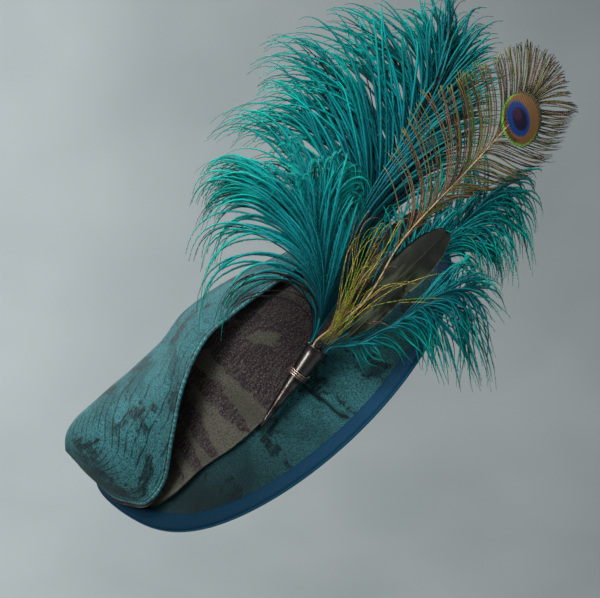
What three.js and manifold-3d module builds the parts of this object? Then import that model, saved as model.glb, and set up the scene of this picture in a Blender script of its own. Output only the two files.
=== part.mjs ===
// Wide dress hat worn at a steep tilt: a saucer base with a bound edge, a folded brocade leaf on
// its crown, and a spray of feathers set in a metal cone.
// Millimetres, +Z up, worn attitude. The origin is where the base sits on the wearer's crown.

import * as THREE from 'three';
import { mergeVertices } from 'three/addons/utils/BufferGeometryUtils.js';
import Module from 'manifold-3d';

const wasm = await Module();
wasm.setup();

const { Vector3, CatmullRomCurve3, CubicBezierCurve3 } = THREE;
const { clamp, degToRad, lerp, smoothstep } = THREE.MathUtils;
const vec = (x, y, z) => new Vector3(x, y, z);

// Pose of the hat's own frame: x along its length, y across and away from the front, z out of the crown
const TILT = { yaw: 8.9, lift: 41.2, roll: 16.65 };
const HAT_CENTRE = vec(-10.9, -13.2, -78.9);

// Place in plan, in the hat's own frame, where the base's inside rests on the crown of the head
const HEAD_SEAT = { x: 61.6, y: 25.5 };

// Saucer base: an oval dome that runs out into its brim without a break
const BASE = { halfLength: 162, frontWidth: 125, backWidth: 140, crown: 80, bellShare: 0.25, wall: 2.8 };
const BASE_RINGS = [0, 0.15, 0.3, 0.44, 0.57, 0.68, 0.78, 0.86, 0.93, 1];
const BASE_SIDES = 40;

// The blunt nose of the brim, at the low end: it reaches further out and turns up
const NOSE = { angle: 150, spread: 24, reach: 0.16, liftAngle: 165, liftSpread: 32, lift: 13 };

// Ribbon folded over the brim edge, from the base's last ring but one
const BINDING = { innerRing: 0.93, gap: 0.35, thick: 0.9 };

// The leaf: two cloth layers that share a middle surface. Offsets are from it, into the hollow.
const LEAF = { shellOuter: -1.8, shellInner: -0.15, liningOuter: 0.15, liningInner: 1.2 };
const LEAF_STATIONS = 19;
const LEAF_COLUMNS = 12;
const LEAF_SEAT = { base: 4.1, overBinding: 1.7, from: 0.8, to: 0.91, points: 7, reach: 0.88 };

// A row for each section of the leaf, from the nose to the tail: where the leaf starts on the base
// (crease), then as [y, z] its turn at the far side (back), its top (fold), its falling front and its
// free lip.
const LEAF_SECTIONS = [
  { x: -172, crease: 46, back: [61, 36], fold: [52, 54], front: [45, 41], lip: [43, 25] },
  { x: -166, crease: 10, back: [70, 40], fold: [46, 64], front: [24, 48], lip: [9, 21] },
  { x: -158, crease: -12, back: [76, 43], fold: [40, 71], front: [8, 54], lip: [-12, 21] },
  { x: -145, crease: -33, back: [78, 46], fold: [36, 75], front: [-8, 58], lip: [-35, 23] },
  { x: -125, crease: -46, back: [78, 50], fold: [32, 75], front: [-17, 65], lip: [-43, 31] },
  { x: -95, crease: -59, back: [74, 54], fold: [28, 74], front: [-20, 74], lip: [-47, 58] },
  { x: -60, crease: -75, back: [66, 60], fold: [24, 78], front: [-16, 86], lip: [-44, 84] },
  { x: -25, crease: -81, back: [58, 71], fold: [20, 89], front: [-10, 97], lip: [-38, 97] },
  { x: 5, crease: -78, back: [52, 72], fold: [20, 87], front: [-8, 94], lip: [-30, 93] },
  { x: 35, crease: -73, back: [46, 68], fold: [18, 82], front: [-4, 87], lip: [-22, 85] },
  { x: 70, crease: -62, back: [38, 58], fold: [18, 70], front: [4, 73], lip: [-10, 72] },
  { x: 98, crease: -40, back: [32, 47], fold: [20, 54], front: [10, 55], lip: [0, 53] },
  { x: 116, crease: -14, back: [27, 37], fold: [20, 41], front: [13, 42], lip: [6, 41] },
];

// Corded roll sewn along the lip
const PIPING = { radius: 1.5, gap: 0.5, sides: 5, steps: 26 };

// Metal cone, lying on the leaf beside its crease, and the wire collar round it
const CONE = { length: 74, mouthRadius: 9.5, tipRadius: 1.1, wall: 0.9, sides: 14 };
const CONE_TIP = vec(-37, -85.6, 33.7);
const CONE_MOUTH = vec(34, -84.6, 50.6);
const COLLAR = { at: 46, length: 6.5, ribs: 3, ribHeight: 0.9, gap: 0.3, wall: 0.5 };

// Places of the quills in the cone: a ring of slots, touching close inside its wall
const SLOT = { depth: 22, lead: 5, count: 9, firstAngle: 10, clear: 0.55 };
const QUILL_SIDES = 5;

// Feathers and their colours
const COLOURS = {
  brocade: 0x3c7d7d,
  lining: 0x4a4240,
  binding: 0x1d4a63,
  piping: 0x2f8f90,
  metal: 0x4a4648,
  collar: 0x8c7b6b,
  ostrich: 0x078a82,
  peacock: 0x5e5a2c,
  herl: 0x9a9a2a,
  coque: 0x23281c,
};

// Ostrich plumes. A quill's points start outside the cone. Each lock leaves the quill at a share of
// its length and ends at a tip; arch lifts its outer part, and lean keeps its root along the quill.
const PLUMES = [
  {
    name: 'plume_crest', slot: 5, lean: 0.3, arch: 0.2, thick: 2.4,
    quill: [[34, -93, 3], [59, -75, 40], [86, -60, 81], [106, -50, 122], [119, -42, 164], [125, -38, 198]],
    locks: [
      { at: 0.3, x: -66, y: -92, z: 109, wide: 13 },
      { at: 0.34, x: -59, y: -60, z: 122, wide: 13 },
      { at: 0.4, x: -49, y: -82, z: 142, wide: 13 },
      { at: 0.44, x: -40, y: -40, z: 152, wide: 13 },
      { at: 0.49, x: -34, y: -74, z: 165, wide: 13 },
      { at: 0.54, x: -30, y: -58, z: 187, wide: 12 },
      { at: 0.58, x: -6, y: -30, z: 192, wide: 13 },
      { at: 0.63, x: 8, y: -58, z: 205, wide: 13 },
      { at: 0.69, x: 28, y: -50, z: 218, wide: 13 },
      { at: 0.76, x: 55, y: -40, z: 222, wide: 13 },
      { at: 0.84, x: 81, y: -48, z: 225, wide: 12 },
      { at: 0.93, x: 106, y: -38, z: 226, wide: 12 },
      { at: 0.9, x: 131, y: -34, z: 215, wide: 12 },
      { at: 0.8, x: 146, y: -32, z: 200, wide: 13 },
      { at: 0.72, x: 155, y: -40, z: 182, wide: 13 },
      { at: 0.6, x: 158, y: -36, z: 160, wide: 13 },
      { at: 0.5, x: 152, y: -46, z: 133, wide: 13 },
      { at: 0.4, x: 138, y: -52, z: 104, wide: 13 },
    ],
  },
  {
    name: 'plume_left', slot: 4, lean: 0.34, arch: 0.4, thick: 2.4,
    quill: [[15, -116, -12], [13, -121, 20], [15, -124, 52]],
    locks: [
      { at: 0.42, x: -62, y: -130, z: -12, wide: 9 },
      { at: 0.48, x: -76, y: -124, z: -14, wide: 10 },
      { at: 0.56, x: -86, y: -120, z: 30, wide: 12 },
      { at: 0.6, x: -48, y: -132, z: 36, wide: 11 },
      { at: 0.66, x: -86, y: -112, z: 70, wide: 13 },
      { at: 0.72, x: -74, y: -104, z: 92, wide: 13 },
      { at: 0.8, x: -50, y: -112, z: 98, wide: 13 },
      { at: 0.86, x: -30, y: -128, z: 84, wide: 13 },
      { at: 0.92, x: -8, y: -118, z: 114, wide: 13 },
      { at: 0.98, x: 19, y: -126, z: 116, wide: 13 },
      { at: 0.9, x: 38, y: -124, z: 114, wide: 12 },
      { at: 0.7, x: 46, y: -118, z: 92, wide: 11 },
    ],
  },
  {
    name: 'plume_right_high', slot: 8, lean: 0.35, arch: 0.35, thick: 2.4,
    quill: [[47, -112, -18], [83, -106, 10], [113, -96, 40], [144, -86, 73], [166, -76, 97]],
    locks: [
      { at: 0.97, x: 186, y: -70, z: 108, wide: 10 },
      { at: 0.9, x: 187, y: -80, z: 82, wide: 12 },
      { at: 0.84, x: 176, y: -88, z: 62, wide: 12 },
      { at: 0.76, x: 168, y: -92, z: 38, wide: 12 },
      { at: 0.68, x: 156, y: -96, z: 14, wide: 12 },
      { at: 0.6, x: 138, y: -98, z: 26, wide: 12 },
      { at: 0.9, x: 148, y: -68, z: 118, wide: 12 },
      { at: 0.72, x: 122, y: -78, z: 98, wide: 12 },
      { at: 0.56, x: 100, y: -82, z: 76, wide: 12 },
      { at: 0.42, x: 78, y: -88, z: 50, wide: 12 },
    ],
  },
  {
    name: 'plume_right_low', slot: 0, lean: 0.4, arch: 0.45, thick: 2.4,
    quill: [[46, -122, -31], [76, -124, -13], [101, -121, 1], [122, -115, 6]],
    locks: [
      { at: 0.97, x: 155, y: -104, z: -22, wide: 9 },
      { at: 0.92, x: 136, y: -110, z: -74, wide: 10 },
      { at: 0.86, x: 127, y: -120, z: -36, wide: 11 },
      { at: 0.8, x: 104, y: -116, z: -65, wide: 10 },
      { at: 0.7, x: 100, y: -128, z: -28, wide: 11 },
      { at: 0.5, x: 74, y: -124, z: -37, wide: 10 },
      { at: 0.36, x: 44, y: -124, z: -53, wide: 9 },
    ],
  },
];

// Peacock feather: the shaft, its long bronze barbs with free tips, and the fan round the eye
const PEACOCK = {
  name: 'peacock_feather', slot: 3, lean: 0.3, arch: 0, thick: 1.6,
  quill: [
    [48, -130, 2], [75, -131, 47], [105, -125, 80], [127, -114, 101], [145, -109, 120], [163, -106, 140],
  ],
  locks: [
    { at: 0.52, x: 78, y: -116, z: 106, wide: 3 },
    { at: 0.58, x: 82, y: -114, z: 140, wide: 3 },
    { at: 0.66, x: 101, y: -110, z: 165, wide: 4 },
    { at: 0.72, x: 115, y: -108, z: 173, wide: 5 },
    { at: 0.8, x: 143, y: -106, z: 172, wide: 9 },
    { at: 0.86, x: 153, y: -105, z: 178, wide: 12 },
    { at: 0.9, x: 166, y: -104, z: 188, wide: 14 },
    { at: 0.94, x: 184, y: -104, z: 190, wide: 16 },
    { at: 0.97, x: 197, y: -104, z: 167, wide: 18 },
    { at: 0.99, x: 203, y: -104, z: 142, wide: 18 },
    { at: 0.95, x: 195, y: -105, z: 126, wide: 16 },
    { at: 0.9, x: 184, y: -106, z: 105, wide: 13 },
    { at: 0.84, x: 168, y: -108, z: 93, wide: 11 },
    { at: 0.76, x: 144, y: -112, z: 83, wide: 6 },
  ],
};

// Gold-green strands tied in one bunch beside the peacock shaft
const HERLS = {
  name: 'herl_bunch', slot: 2, lean: 0.5, arch: 0.12, thick: 1.2,
  quill: [[34, -132, -13], [52, -138, 12]],
  locks: [
    { at: 0.5, x: 83, y: -132, z: 84, wide: 3 },
    { at: 0.7, x: 97, y: -134, z: 77, wide: 3 },
    { at: 0.95, x: 78, y: -136, z: 55, wide: 4 },
    { at: 0.8, x: 91, y: -136, z: 27, wide: 3 },
    { at: 0.6, x: 112, y: -134, z: 7, wide: 3 },
    { at: 0.45, x: 140, y: -130, z: 17, wide: 3 },
  ],
};

// Short broad feathers: a quill and one blade each, the blade along the quill's outer points
const COQUES = [
  {
    name: 'coque_dark', slot: 6, wide: 24,
    line: [[37, -107, -10], [51, -108, 13], [72, -101, 41], [92, -97, 64]],
  },
  {
    name: 'coque_olive', slot: 7, wide: 28,
    line: [[42, -114, -16], [61, -118, 5], [87, -117, 30], [110, -111, 52]],
  },
  {
    name: 'coque_near', slot: 1, wide: 17,
    line: [[37, -124, -25], [51, -127, -11], [65, -127, 3], [77, -126, 12]],
  },
];

// Points closer than this are one point
const WELD = 1e-4;

// A closed solid from triangles given as corner points, faces outward, flat triangles left out
function solidFromTriangles(triangles) {
  const apart = (a, b) => a.distanceTo(b) > WELD;
  const kept = triangles.filter(([a, b, c]) => apart(a, b) && apart(b, c) && apart(c, a));
  const volume = kept.reduce((sum, [a, b, c]) => sum + a.dot(b.clone().cross(c)), 0);
  const turned = volume < 0 ? kept.map(([a, b, c]) => [a, c, b]) : kept;
  const geometry = new THREE.BufferGeometry();
  const places = turned.flat().flatMap((point) => point.toArray());
  geometry.setAttribute('position', new THREE.Float32BufferAttribute(places, 3));
  return finished(geometry);
}

// Shared vertices are merged by position, then smooth normals are worked out
function finished(geometry) {
  geometry.deleteAttribute('normal');
  geometry.deleteAttribute('uv');
  const welded = mergeVertices(geometry, WELD);
  welded.computeVertexNormals();
  return welded;
}

// Two triangles for each cell of a grid of points; a ring's last column meets its first
function gridTriangles(rows, ring) {
  const triangles = [];
  for (let i = 0; i + 1 < rows.length; i += 1) {
    const columns = rows[i].length;
    for (let j = 0; j < (ring ? columns : columns - 1); j += 1) {
      const k = (j + 1) % columns;
      triangles.push([rows[i][j], rows[i + 1][j], rows[i + 1][k]]);
      triangles.push([rows[i][j], rows[i + 1][k], rows[i][k]]);
    }
  }
  return triangles;
}

// Closed wall between two grids of points with the same rows and columns
function wallBetween(front, back, ring) {
  const last = front.length - 1;
  const end = front[0].length - 1;
  const triangles = [
    ...gridTriangles(front, ring),
    ...gridTriangles(back, ring).map(([a, b, c]) => [a, c, b]),
    ...gridTriangles([back[0], front[0]], ring),
    ...gridTriangles([front[last], back[last]], ring),
  ];
  if (!ring) {
    triangles.push(...gridTriangles([front.map((row) => row[0]), back.map((row) => row[0])], false));
    triangles.push(...gridTriangles([back.map((row) => row[end]), front.map((row) => row[end])], false));
  }
  return solidFromTriangles(triangles);
}

// Unit normal at each point of a grid, from its neighbours along the rows and the columns
function gridNormals(rows) {
  const at = (i, j) => rows[clamp(i, 0, rows.length - 1)][clamp(j, 0, rows[0].length - 1)];
  return rows.map((row, i) => row.map((point, j) => {
    const along = at(i + 1, j).clone().sub(at(i - 1, j));
    const across = at(i, j + 1).clone().sub(at(i, j - 1));
    return along.cross(across).normalize();
  }));
}

const offsetGrid = (rows, normals, distance) =>
  rows.map((row, i) => row.map((point, j) => point.clone().addScaledVector(normals[i][j], distance)));

// Round tube along a curve
function tube(curve, radius, sides, steps) {
  const corner = (k) => new THREE.Vector2().set(
    radius * Math.cos((2 * Math.PI * k) / sides),
    radius * Math.sin((2 * Math.PI * k) / sides),
  );
  const section = new THREE.Shape(Array.from({ length: sides }, (_, k) => corner(k)));
  return finished(new THREE.ExtrudeGeometry(section, { steps, extrudePath: curve, bevelEnabled: false }));
}

// Flat strand along a curve: a low three-sided section whose width follows a share function of its length
function strand(curve, wide, thick, steps, share) {
  const TOWARDS_VIEWER = vec(0, -1, 0.17);
  const rows = [];
  for (let i = 0; i <= steps; i += 1) {
    const s = i / steps;
    const centre = curve.getPoint(s);
    const side = curve.getTangent(s).cross(TOWARDS_VIEWER).normalize();
    const face = side.clone().cross(curve.getTangent(s)).normalize();
    const half = Math.max((wide * share(s)) / 2, 0.5);
    const depth = thick * (0.35 + 0.65 * share(s));
    rows.push([
      centre.clone().addScaledVector(side, half).addScaledVector(face, -depth / 3),
      centre.clone().addScaledVector(face, (2 * depth) / 3),
      centre.clone().addScaledVector(side, -half).addScaledVector(face, -depth / 3),
    ]);
  }
  const [first, final] = [rows[0], rows[steps]];
  return solidFromTriangles([
    ...gridTriangles(rows, true),
    [first[0], first[1], first[2]],
    [final[0], final[2], final[1]],
  ]);
}

// Solids joined to one body
function fuse(geometries) {
  const solids = geometries.map((geometry) => {
    const vertProperties = new Float32Array(geometry.attributes.position.array);
    const triVerts = new Uint32Array(geometry.index.array);
    return new wasm.Manifold(new wasm.Mesh({ numProp: 3, vertProperties, triVerts }));
  });
  const mesh = solids.reduce((whole, solid) => whole.add(solid)).getMesh();
  const geometry = new THREE.BufferGeometry();
  geometry.setAttribute('position', new THREE.BufferAttribute(new Float32Array(mesh.vertProperties), 3));
  geometry.setIndex(new THREE.BufferAttribute(new Uint32Array(mesh.triVerts), 1));
  geometry.computeVertexNormals();
  return geometry;
}

function named(name, geometry, colour, roughness, metalness = 0) {
  const material = new THREE.MeshStandardMaterial({ color: colour, roughness, metalness });
  const mesh = new THREE.Mesh(geometry, material);
  mesh.name = name;
  return mesh;
}

// Saucer base. A bell curve falls to the oval's edge; the angle is that of the unstretched oval.
const bump = (degrees, centre, spread) => Math.exp(-(((degrees - centre) / spread) ** 2));
const sideWidth = (y) => (y < 0 ? BASE.frontWidth : BASE.backWidth);
const wholeDegrees = (angle) => ((angle * 180) / Math.PI + 360) % 360;
const rimReach = (angle) => 1 + NOSE.reach * bump(wholeDegrees(angle), NOSE.angle, NOSE.spread);
const rimLift = (angle) => NOSE.lift * bump(wholeDegrees(angle), NOSE.liftAngle, NOSE.liftSpread);

function crownHeight(share) {
  const bell = (1 + Math.cos(Math.PI * share)) / 2;
  const bowl = (1 - share * share) ** 1.5;
  return BASE.crown * lerp(bowl, bell, BASE.bellShare);
}

function basePoint(share, angle) {
  const reach = share * rimReach(angle);
  const z = crownHeight(share) + rimLift(angle) * share ** 3;
  const width = sideWidth(Math.sin(angle));
  return vec(BASE.halfLength * reach * Math.cos(angle), width * reach * Math.sin(angle), z);
}

// Share of the way from the centre to the rim, and height of the base, above a place in plan
function baseShare(x, y) {
  const across = y / sideWidth(y);
  const along = x / BASE.halfLength;
  const angle = Math.atan2(across, along);
  return { angle, share: Math.hypot(along, across) / rimReach(angle) };
}

function baseHeight(x, y) {
  const { angle, share } = baseShare(x, y);
  return basePoint(Math.min(share, 1), angle).z;
}

function baseNormal(share, angle) {
  const step = 0.004;
  const near = clamp(share, 0.02, 1 - step);
  const outward = basePoint(near + step, angle).sub(basePoint(near - step, angle));
  const around = basePoint(near, angle + step).sub(basePoint(near, angle - step));
  return share === 0 ? vec(0, 0, 1) : outward.cross(around).normalize();
}

const baseAngles = Array.from({ length: BASE_SIDES }, (_, k) => (2 * Math.PI * k) / BASE_SIDES);
const baseRow = (share, distance) =>
  baseAngles.map((angle) => basePoint(share, angle).addScaledVector(baseNormal(share, angle), distance));

function saucerBase() {
  const outer = BASE_RINGS.map((share) => baseRow(share, 0));
  const inner = BASE_RINGS.map((share) => baseRow(share, -BASE.wall));
  return wallBetween(outer, inner, true);
}

// The ribbon's section runs over the edge and back under it, as one closed loop of rows
function edgeBinding() {
  const { innerRing, gap, thick } = BINDING;
  const outward = (row, distance) => row.map((point, k) => {
    const flat = basePoint(1, baseAngles[k]).sub(basePoint(innerRing, baseAngles[k])).normalize();
    return point.clone().addScaledVector(flat, distance);
  });
  const under = BASE.wall + gap;
  const loop = [
    baseRow(innerRing, gap),
    outward(baseRow(1, gap), gap),
    outward(baseRow(1, -under), gap),
    baseRow(innerRing, -under),
    baseRow(innerRing, -under - thick),
    outward(baseRow(1, -under - thick), gap + thick),
    outward(baseRow(1, gap + thick), gap + thick),
    baseRow(innerRing, gap + thick),
  ];
  return solidFromTriangles(gridTriangles([...loop, loop[0]], true));
}

// Leaf: the table's sections as smooth curves, lofted along the hat
function leafControl(section) {
  const seat = (y) => {
    const { share } = baseShare(section.x, y);
    const rise = LEAF_SEAT.overBinding * smoothstep(share, LEAF_SEAT.from, LEAF_SEAT.to);
    return vec(section.x, y, baseHeight(section.x, y) + LEAF_SEAT.base + rise);
  };
  const seats = Array.from({ length: LEAF_SEAT.points }, (_, k) => {
    const share = (LEAF_SEAT.reach * k) / (LEAF_SEAT.points - 1);
    return seat(lerp(section.crease, section.back[0], share));
  });
  const { back, fold, front, lip } = section;
  return [...seats, ...[back, fold, front, lip].map(([y, z]) => vec(section.x, y, z))];
}

function leafGrid() {
  const controls = LEAF_SECTIONS.map(leafControl);
  const smooth = (points) => new CatmullRomCurve3(points, false, 'centripetal');
  const rails = controls[0].map((_, k) => smooth(controls.map((row) => row[k])));
  const rows = [];
  for (let i = 0; i <= LEAF_STATIONS; i += 1) {
    const section = smooth(rails.map((rail) => rail.getPoint(i / LEAF_STATIONS)));
    rows.push(Array.from({ length: LEAF_COLUMNS + 1 }, (_, j) => section.getPointAt(j / LEAF_COLUMNS)));
  }
  return rows;
}

function leafLayer(grid, normals, from, to) {
  return wallBetween(offsetGrid(grid, normals, to), offsetGrid(grid, normals, from), false);
}

function lipPiping(grid) {
  const distance = PIPING.radius + PIPING.gap;
  const line = grid.map((row) => {
    const lip = row[LEAF_COLUMNS];
    return lip.clone().addScaledVector(lip.clone().sub(row[LEAF_COLUMNS - 1]).normalize(), distance);
  });
  return tube(new CatmullRomCurve3(line), PIPING.radius, PIPING.sides, PIPING.steps);
}

// Cone, with its axis up +Y from the tip before it is placed
function featherCone() {
  const { length, mouthRadius, tipRadius, wall, sides } = CONE;
  const profile = [
    [0, 0], [tipRadius, 1.2], [lerp(tipRadius, mouthRadius, 0.5), length / 2], [mouthRadius, length],
    [mouthRadius - wall, length], [lerp(tipRadius, mouthRadius, 0.5) - wall, length / 2], [0.9, 10], [0, 9],
  ];
  return finished(new THREE.LatheGeometry(profile.map(([r, y]) => new THREE.Vector2(r, y)), sides));
}

const coneRadius = (height) => lerp(CONE.tipRadius, CONE.mouthRadius, height / CONE.length);

// Collar: a ribbed sleeve round the cone, closed on itself
function coneCollar() {
  const { at, length, ribs, ribHeight, gap, wall } = COLLAR;
  const inner = (height) => coneRadius(height) + gap;
  const profile = [[inner(at), at]];
  for (let rib = 0; rib < ribs; rib += 1) {
    const foot = at + (length * rib) / ribs;
    const crest = foot + length / ribs / 2;
    profile.push([inner(foot) + wall, foot], [inner(crest) + wall + ribHeight, crest]);
  }
  profile.push([inner(at + length) + wall, at + length], [inner(at + length), at + length], [inner(at), at]);
  return finished(new THREE.LatheGeometry(profile.map(([r, y]) => new THREE.Vector2(r, y)), CONE.sides));
}

// Barb lines: the root leaves along the quill, the outer part falls to the tip
function lockCurve(quill, lock, lean, arch) {
  const root = quill.getPointAt(lock.at);
  const tip = vec(lock.x, lock.y, lock.z);
  const reach = root.distanceTo(tip);
  const level = Math.hypot(tip.x - root.x, tip.y - root.y);
  const early = root.clone().addScaledVector(quill.getTangentAt(lock.at), lean * reach);
  const late = tip.clone().lerp(root, 0.35).add(vec(0, 0, arch * level));
  return new CubicBezierCurve3(root, early, late, tip);
}

const lockShare = (s) => 0.14 + 0.86 * Math.sin(Math.PI * Math.min(0.06 + 0.94 * s, 1)) ** 0.7;
const bladeShare = (s) => Math.sin(Math.PI * Math.min(0.03 + 0.95 * s ** 0.8, 1)) ** 0.6;

function feather({ slot, lean, arch, thick, quill, locks }, seat, steps, quillRadius) {
  const points = [...seat(slot, quillRadius), ...quill.map((p) => vec(...p))];
  const line = new CatmullRomCurve3(points, false, 'centripetal');
  const barbs = locks.map((lock) => {
    const curve = lockCurve(line, lock, lean, arch);
    return strand(curve, lock.wide, thick, steps, lockShare);
  });
  return fuse([tube(line, quillRadius, QUILL_SIDES, 2 * points.length), ...barbs]);
}

function coque({ slot, wide, line }, seat, quillRadius) {
  const points = [...seat(slot, quillRadius), ...line.map((p) => vec(...p))];
  const quill = new CatmullRomCurve3(points, false, 'centripetal');
  const blade = new CatmullRomCurve3(line.map((p) => vec(...p)), false, 'centripetal');
  return fuse([tube(quill, quillRadius, QUILL_SIDES, 10), strand(blade, wide, 1.6, 6, bladeShare)]);
}

// Assembly
const worn = new THREE.Group();
const hat = new THREE.Group();
hat.rotation.set(degToRad(TILT.roll), degToRad(-TILT.lift), degToRad(TILT.yaw), 'ZYX');
hat.position.copy(HAT_CENTRE);
worn.add(hat);

const leaf = leafGrid();
const leafNormals = gridNormals(leaf);
hat.add(named('saucer_base', saucerBase(), COLOURS.brocade, 0.7));
hat.add(named('edge_binding', edgeBinding(), COLOURS.binding, 0.75));
const shell = leafLayer(leaf, leafNormals, LEAF.shellOuter, LEAF.shellInner);
const lining = leafLayer(leaf, leafNormals, LEAF.liningOuter, LEAF.liningInner);
hat.add(named('wrap_shell', shell, COLOURS.brocade, 0.7));
hat.add(named('wrap_lining', lining, COLOURS.lining, 0.6));
hat.add(named('lip_piping', lipPiping(leaf), COLOURS.piping, 0.6));

// The cone lies on the lining by its collar, its tip low over the crease
const cone = new THREE.Group();
cone.position.copy(CONE_TIP);
cone.quaternion.setFromUnitVectors(vec(0, 1, 0), CONE_MOUTH.clone().sub(CONE_TIP).normalize());
cone.add(named('feather_cone', featherCone(), COLOURS.metal, 0.25, 1));
cone.add(named('cone_collar', coneCollar(), COLOURS.collar, 0.4, 1));
hat.add(cone);
worn.updateMatrixWorld(true);

// Slots stand in a ring inside the mouth. Slot 0 faces the hat's low right side, then towards the front.
function quillSeat(slot, quillRadius) {
  const angle = degToRad(SLOT.firstAngle + (360 * slot) / SLOT.count);
  const intoCone = cone.matrixWorld.clone().invert();
  const inCone = (direction) => direction.transformDirection(intoCone).setY(0).normalize();
  const right = inCone(vec(0.8, 0, -0.6));
  const front = vec(0, 1, 0).cross(right);
  const facing = front.dot(inCone(vec(0, -1, 0))) < 0 ? -1 : 1;
  const place = (depth) => {
    const height = CONE.length - depth;
    const flatRadius = (coneRadius(height) - CONE.wall) * Math.cos(Math.PI / CONE.sides);
    const radius = flatRadius - quillRadius - SLOT.clear;
    const across = right.clone().multiplyScalar(radius * Math.cos(angle));
    across.addScaledVector(front, facing * radius * Math.sin(angle));
    return cone.localToWorld(across.setY(height));
  };
  return [place(SLOT.depth), place(0), place(-SLOT.lead)];
}

for (const plume of PLUMES) {
  worn.add(named(plume.name, feather(plume, quillSeat, 4, 1), COLOURS.ostrich, 0.8));
}
worn.add(named(PEACOCK.name, feather(PEACOCK, quillSeat, 3, 0.9), COLOURS.peacock, 0.6));
worn.add(named(HERLS.name, feather(HERLS, quillSeat, 3, 0.9), COLOURS.herl, 0.5));
for (const blade of COQUES) {
  worn.add(named(blade.name, coque(blade, quillSeat, 0.8), COLOURS.coque, 0.5));
}

// The seat on the head is moved to the origin
const seatPlan = baseShare(HEAD_SEAT.x, HEAD_SEAT.y);
const seat = basePoint(seatPlan.share, seatPlan.angle)
  .addScaledVector(baseNormal(seatPlan.share, seatPlan.angle), -BASE.wall);
worn.position.copy(hat.localToWorld(seat)).negate();

const assembly = new THREE.Group();
assembly.add(worn);
export default assembly;
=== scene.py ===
"""Wide dress hat in teal brocade with a folded leaf wrap and a feather mount.

Sizes in this file are in millimetres and become metres when a mesh is made. The lights' and
the floor's are in metres.
"""

import bmesh
import bpy
import mathutils
import numpy as np
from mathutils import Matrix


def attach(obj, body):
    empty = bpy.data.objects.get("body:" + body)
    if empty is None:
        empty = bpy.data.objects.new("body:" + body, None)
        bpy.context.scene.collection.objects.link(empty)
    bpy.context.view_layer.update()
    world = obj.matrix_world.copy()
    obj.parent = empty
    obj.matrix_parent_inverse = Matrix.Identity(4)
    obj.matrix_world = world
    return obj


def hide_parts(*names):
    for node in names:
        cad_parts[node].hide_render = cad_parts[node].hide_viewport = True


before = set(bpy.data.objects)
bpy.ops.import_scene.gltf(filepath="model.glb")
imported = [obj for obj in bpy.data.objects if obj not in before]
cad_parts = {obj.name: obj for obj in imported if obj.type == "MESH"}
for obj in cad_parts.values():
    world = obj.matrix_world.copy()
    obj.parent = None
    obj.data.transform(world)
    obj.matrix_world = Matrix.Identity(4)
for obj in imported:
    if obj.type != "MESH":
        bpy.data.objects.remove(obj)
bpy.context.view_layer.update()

bl_info = {
    "name": "Brocade hat with feather mount",
    "version": (1, 0, 0),
    "blender": (4, 5, 0),
    "location": "3D View > Sidebar > Hat",
    "description": "Builds a tilted dress hat, its cloth, its metal cone and its feathers",
    "category": "Add Mesh",
}

BODY = "root"
MM = 0.001
SEED = 41

# The hat's own frame: x along its length, y across and away from the front, z out of the crown
YAW, LIFT, ROLL = np.radians([8.9, 41.2, 16.65])
HAT_CENTRE = np.array([-10.9, -13.2, -78.9])
HEAD_SEAT = (61.6, 25.5)

# Base: half sizes of its oval plan, then the height of its crown, the bell's share of its form, and its wall.
# Its nose reaches out and lifts in bells round two angles, in degrees
HALF_LENGTH, FRONT_WIDTH, BACK_WIDTH = 162.0, 125.0, 140.0
CROWN, BELL_SHARE, BASE_WALL = 80.0, 0.25, 2.8
NOSE = dict(angle=150, spread=24, reach=0.16, lift_angle=165, lift_spread=32, lift=13)

# Ribbon: the share of the base where its flaps begin, and its gap to the brim
RIBBON_FROM, RIBBON_GAP = 0.93, 0.35
# Across the flat ribbon: from row to row, and where it turns over the brim
RIBBON_STEP, RIBBON_EDGE = 1.6, 10.4

# Leaf: how far the faces of its two cloths lie off its middle surface, and how it is seated on the base
SHELL_OUTER, SHELL_INNER, LINING_OUTER, LINING_INNER = -1.8, -0.15, 0.15, 1.2
SEAT = dict(base=4.1, over_ribbon=1.7, start=0.8, end=0.91, points=7, reach=0.88)

# Sections of the leaf: x, crease y, then y and z of its back, its fold, its front and its lip
LEAF_SECTIONS = np.array([
    [-172, 46, 61, 36, 52, 54, 45, 41, 43, 25],
    [-166, 10, 70, 40, 46, 64, 24, 48, 9, 21],
    [-158, -12, 76, 43, 40, 71, 8, 54, -12, 21],
    [-145, -33, 78, 46, 36, 75, -8, 58, -35, 23],
    [-125, -46, 78, 50, 32, 75, -17, 65, -43, 31],
    [-95, -59, 74, 54, 28, 74, -20, 74, -47, 58],
    [-60, -75, 66, 60, 24, 78, -16, 86, -44, 84],
    [-25, -81, 58, 71, 20, 89, -10, 97, -38, 97],
    [5, -78, 52, 72, 20, 87, -8, 94, -30, 93],
    [35, -73, 46, 68, 18, 82, -4, 87, -22, 85],
    [70, -62, 38, 58, 18, 70, 4, 73, -10, 72],
    [98, -40, 32, 47, 20, 54, 10, 55, 0, 53],
    [116, -14, 27, 37, 20, 41, 13, 42, 6, 41],
], dtype=float)

PIPING_RADIUS, PIPING_GAP = 1.5, 0.5

# Cone, its collar, and the ring of slots inside its mouth where quills stand
CONE_LENGTH, CONE_MOUTH_RADIUS, CONE_TIP_RADIUS, CONE_WALL, CONE_SIDES = 74.0, 9.5, 1.1, 0.9, 14
CONE_TIP = np.array([-37, -85.6, 33.7])
CONE_MOUTH = np.array([34, -84.6, 50.6])
COLLAR_AT, COLLAR_LENGTH, COLLAR_GAP = 46.0, 6.5, 0.3
SLOTS, FIRST_SLOT, SLOT_CLEAR, SLOT_DEPTH, SLOT_LEAD = 9, 10, 0.55, 22.0, 5.0
QUILL_RADIUS, THIN_QUILL_RADIUS, COQUE_QUILL_RADIUS = 1.0, 0.9, 0.8

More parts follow.
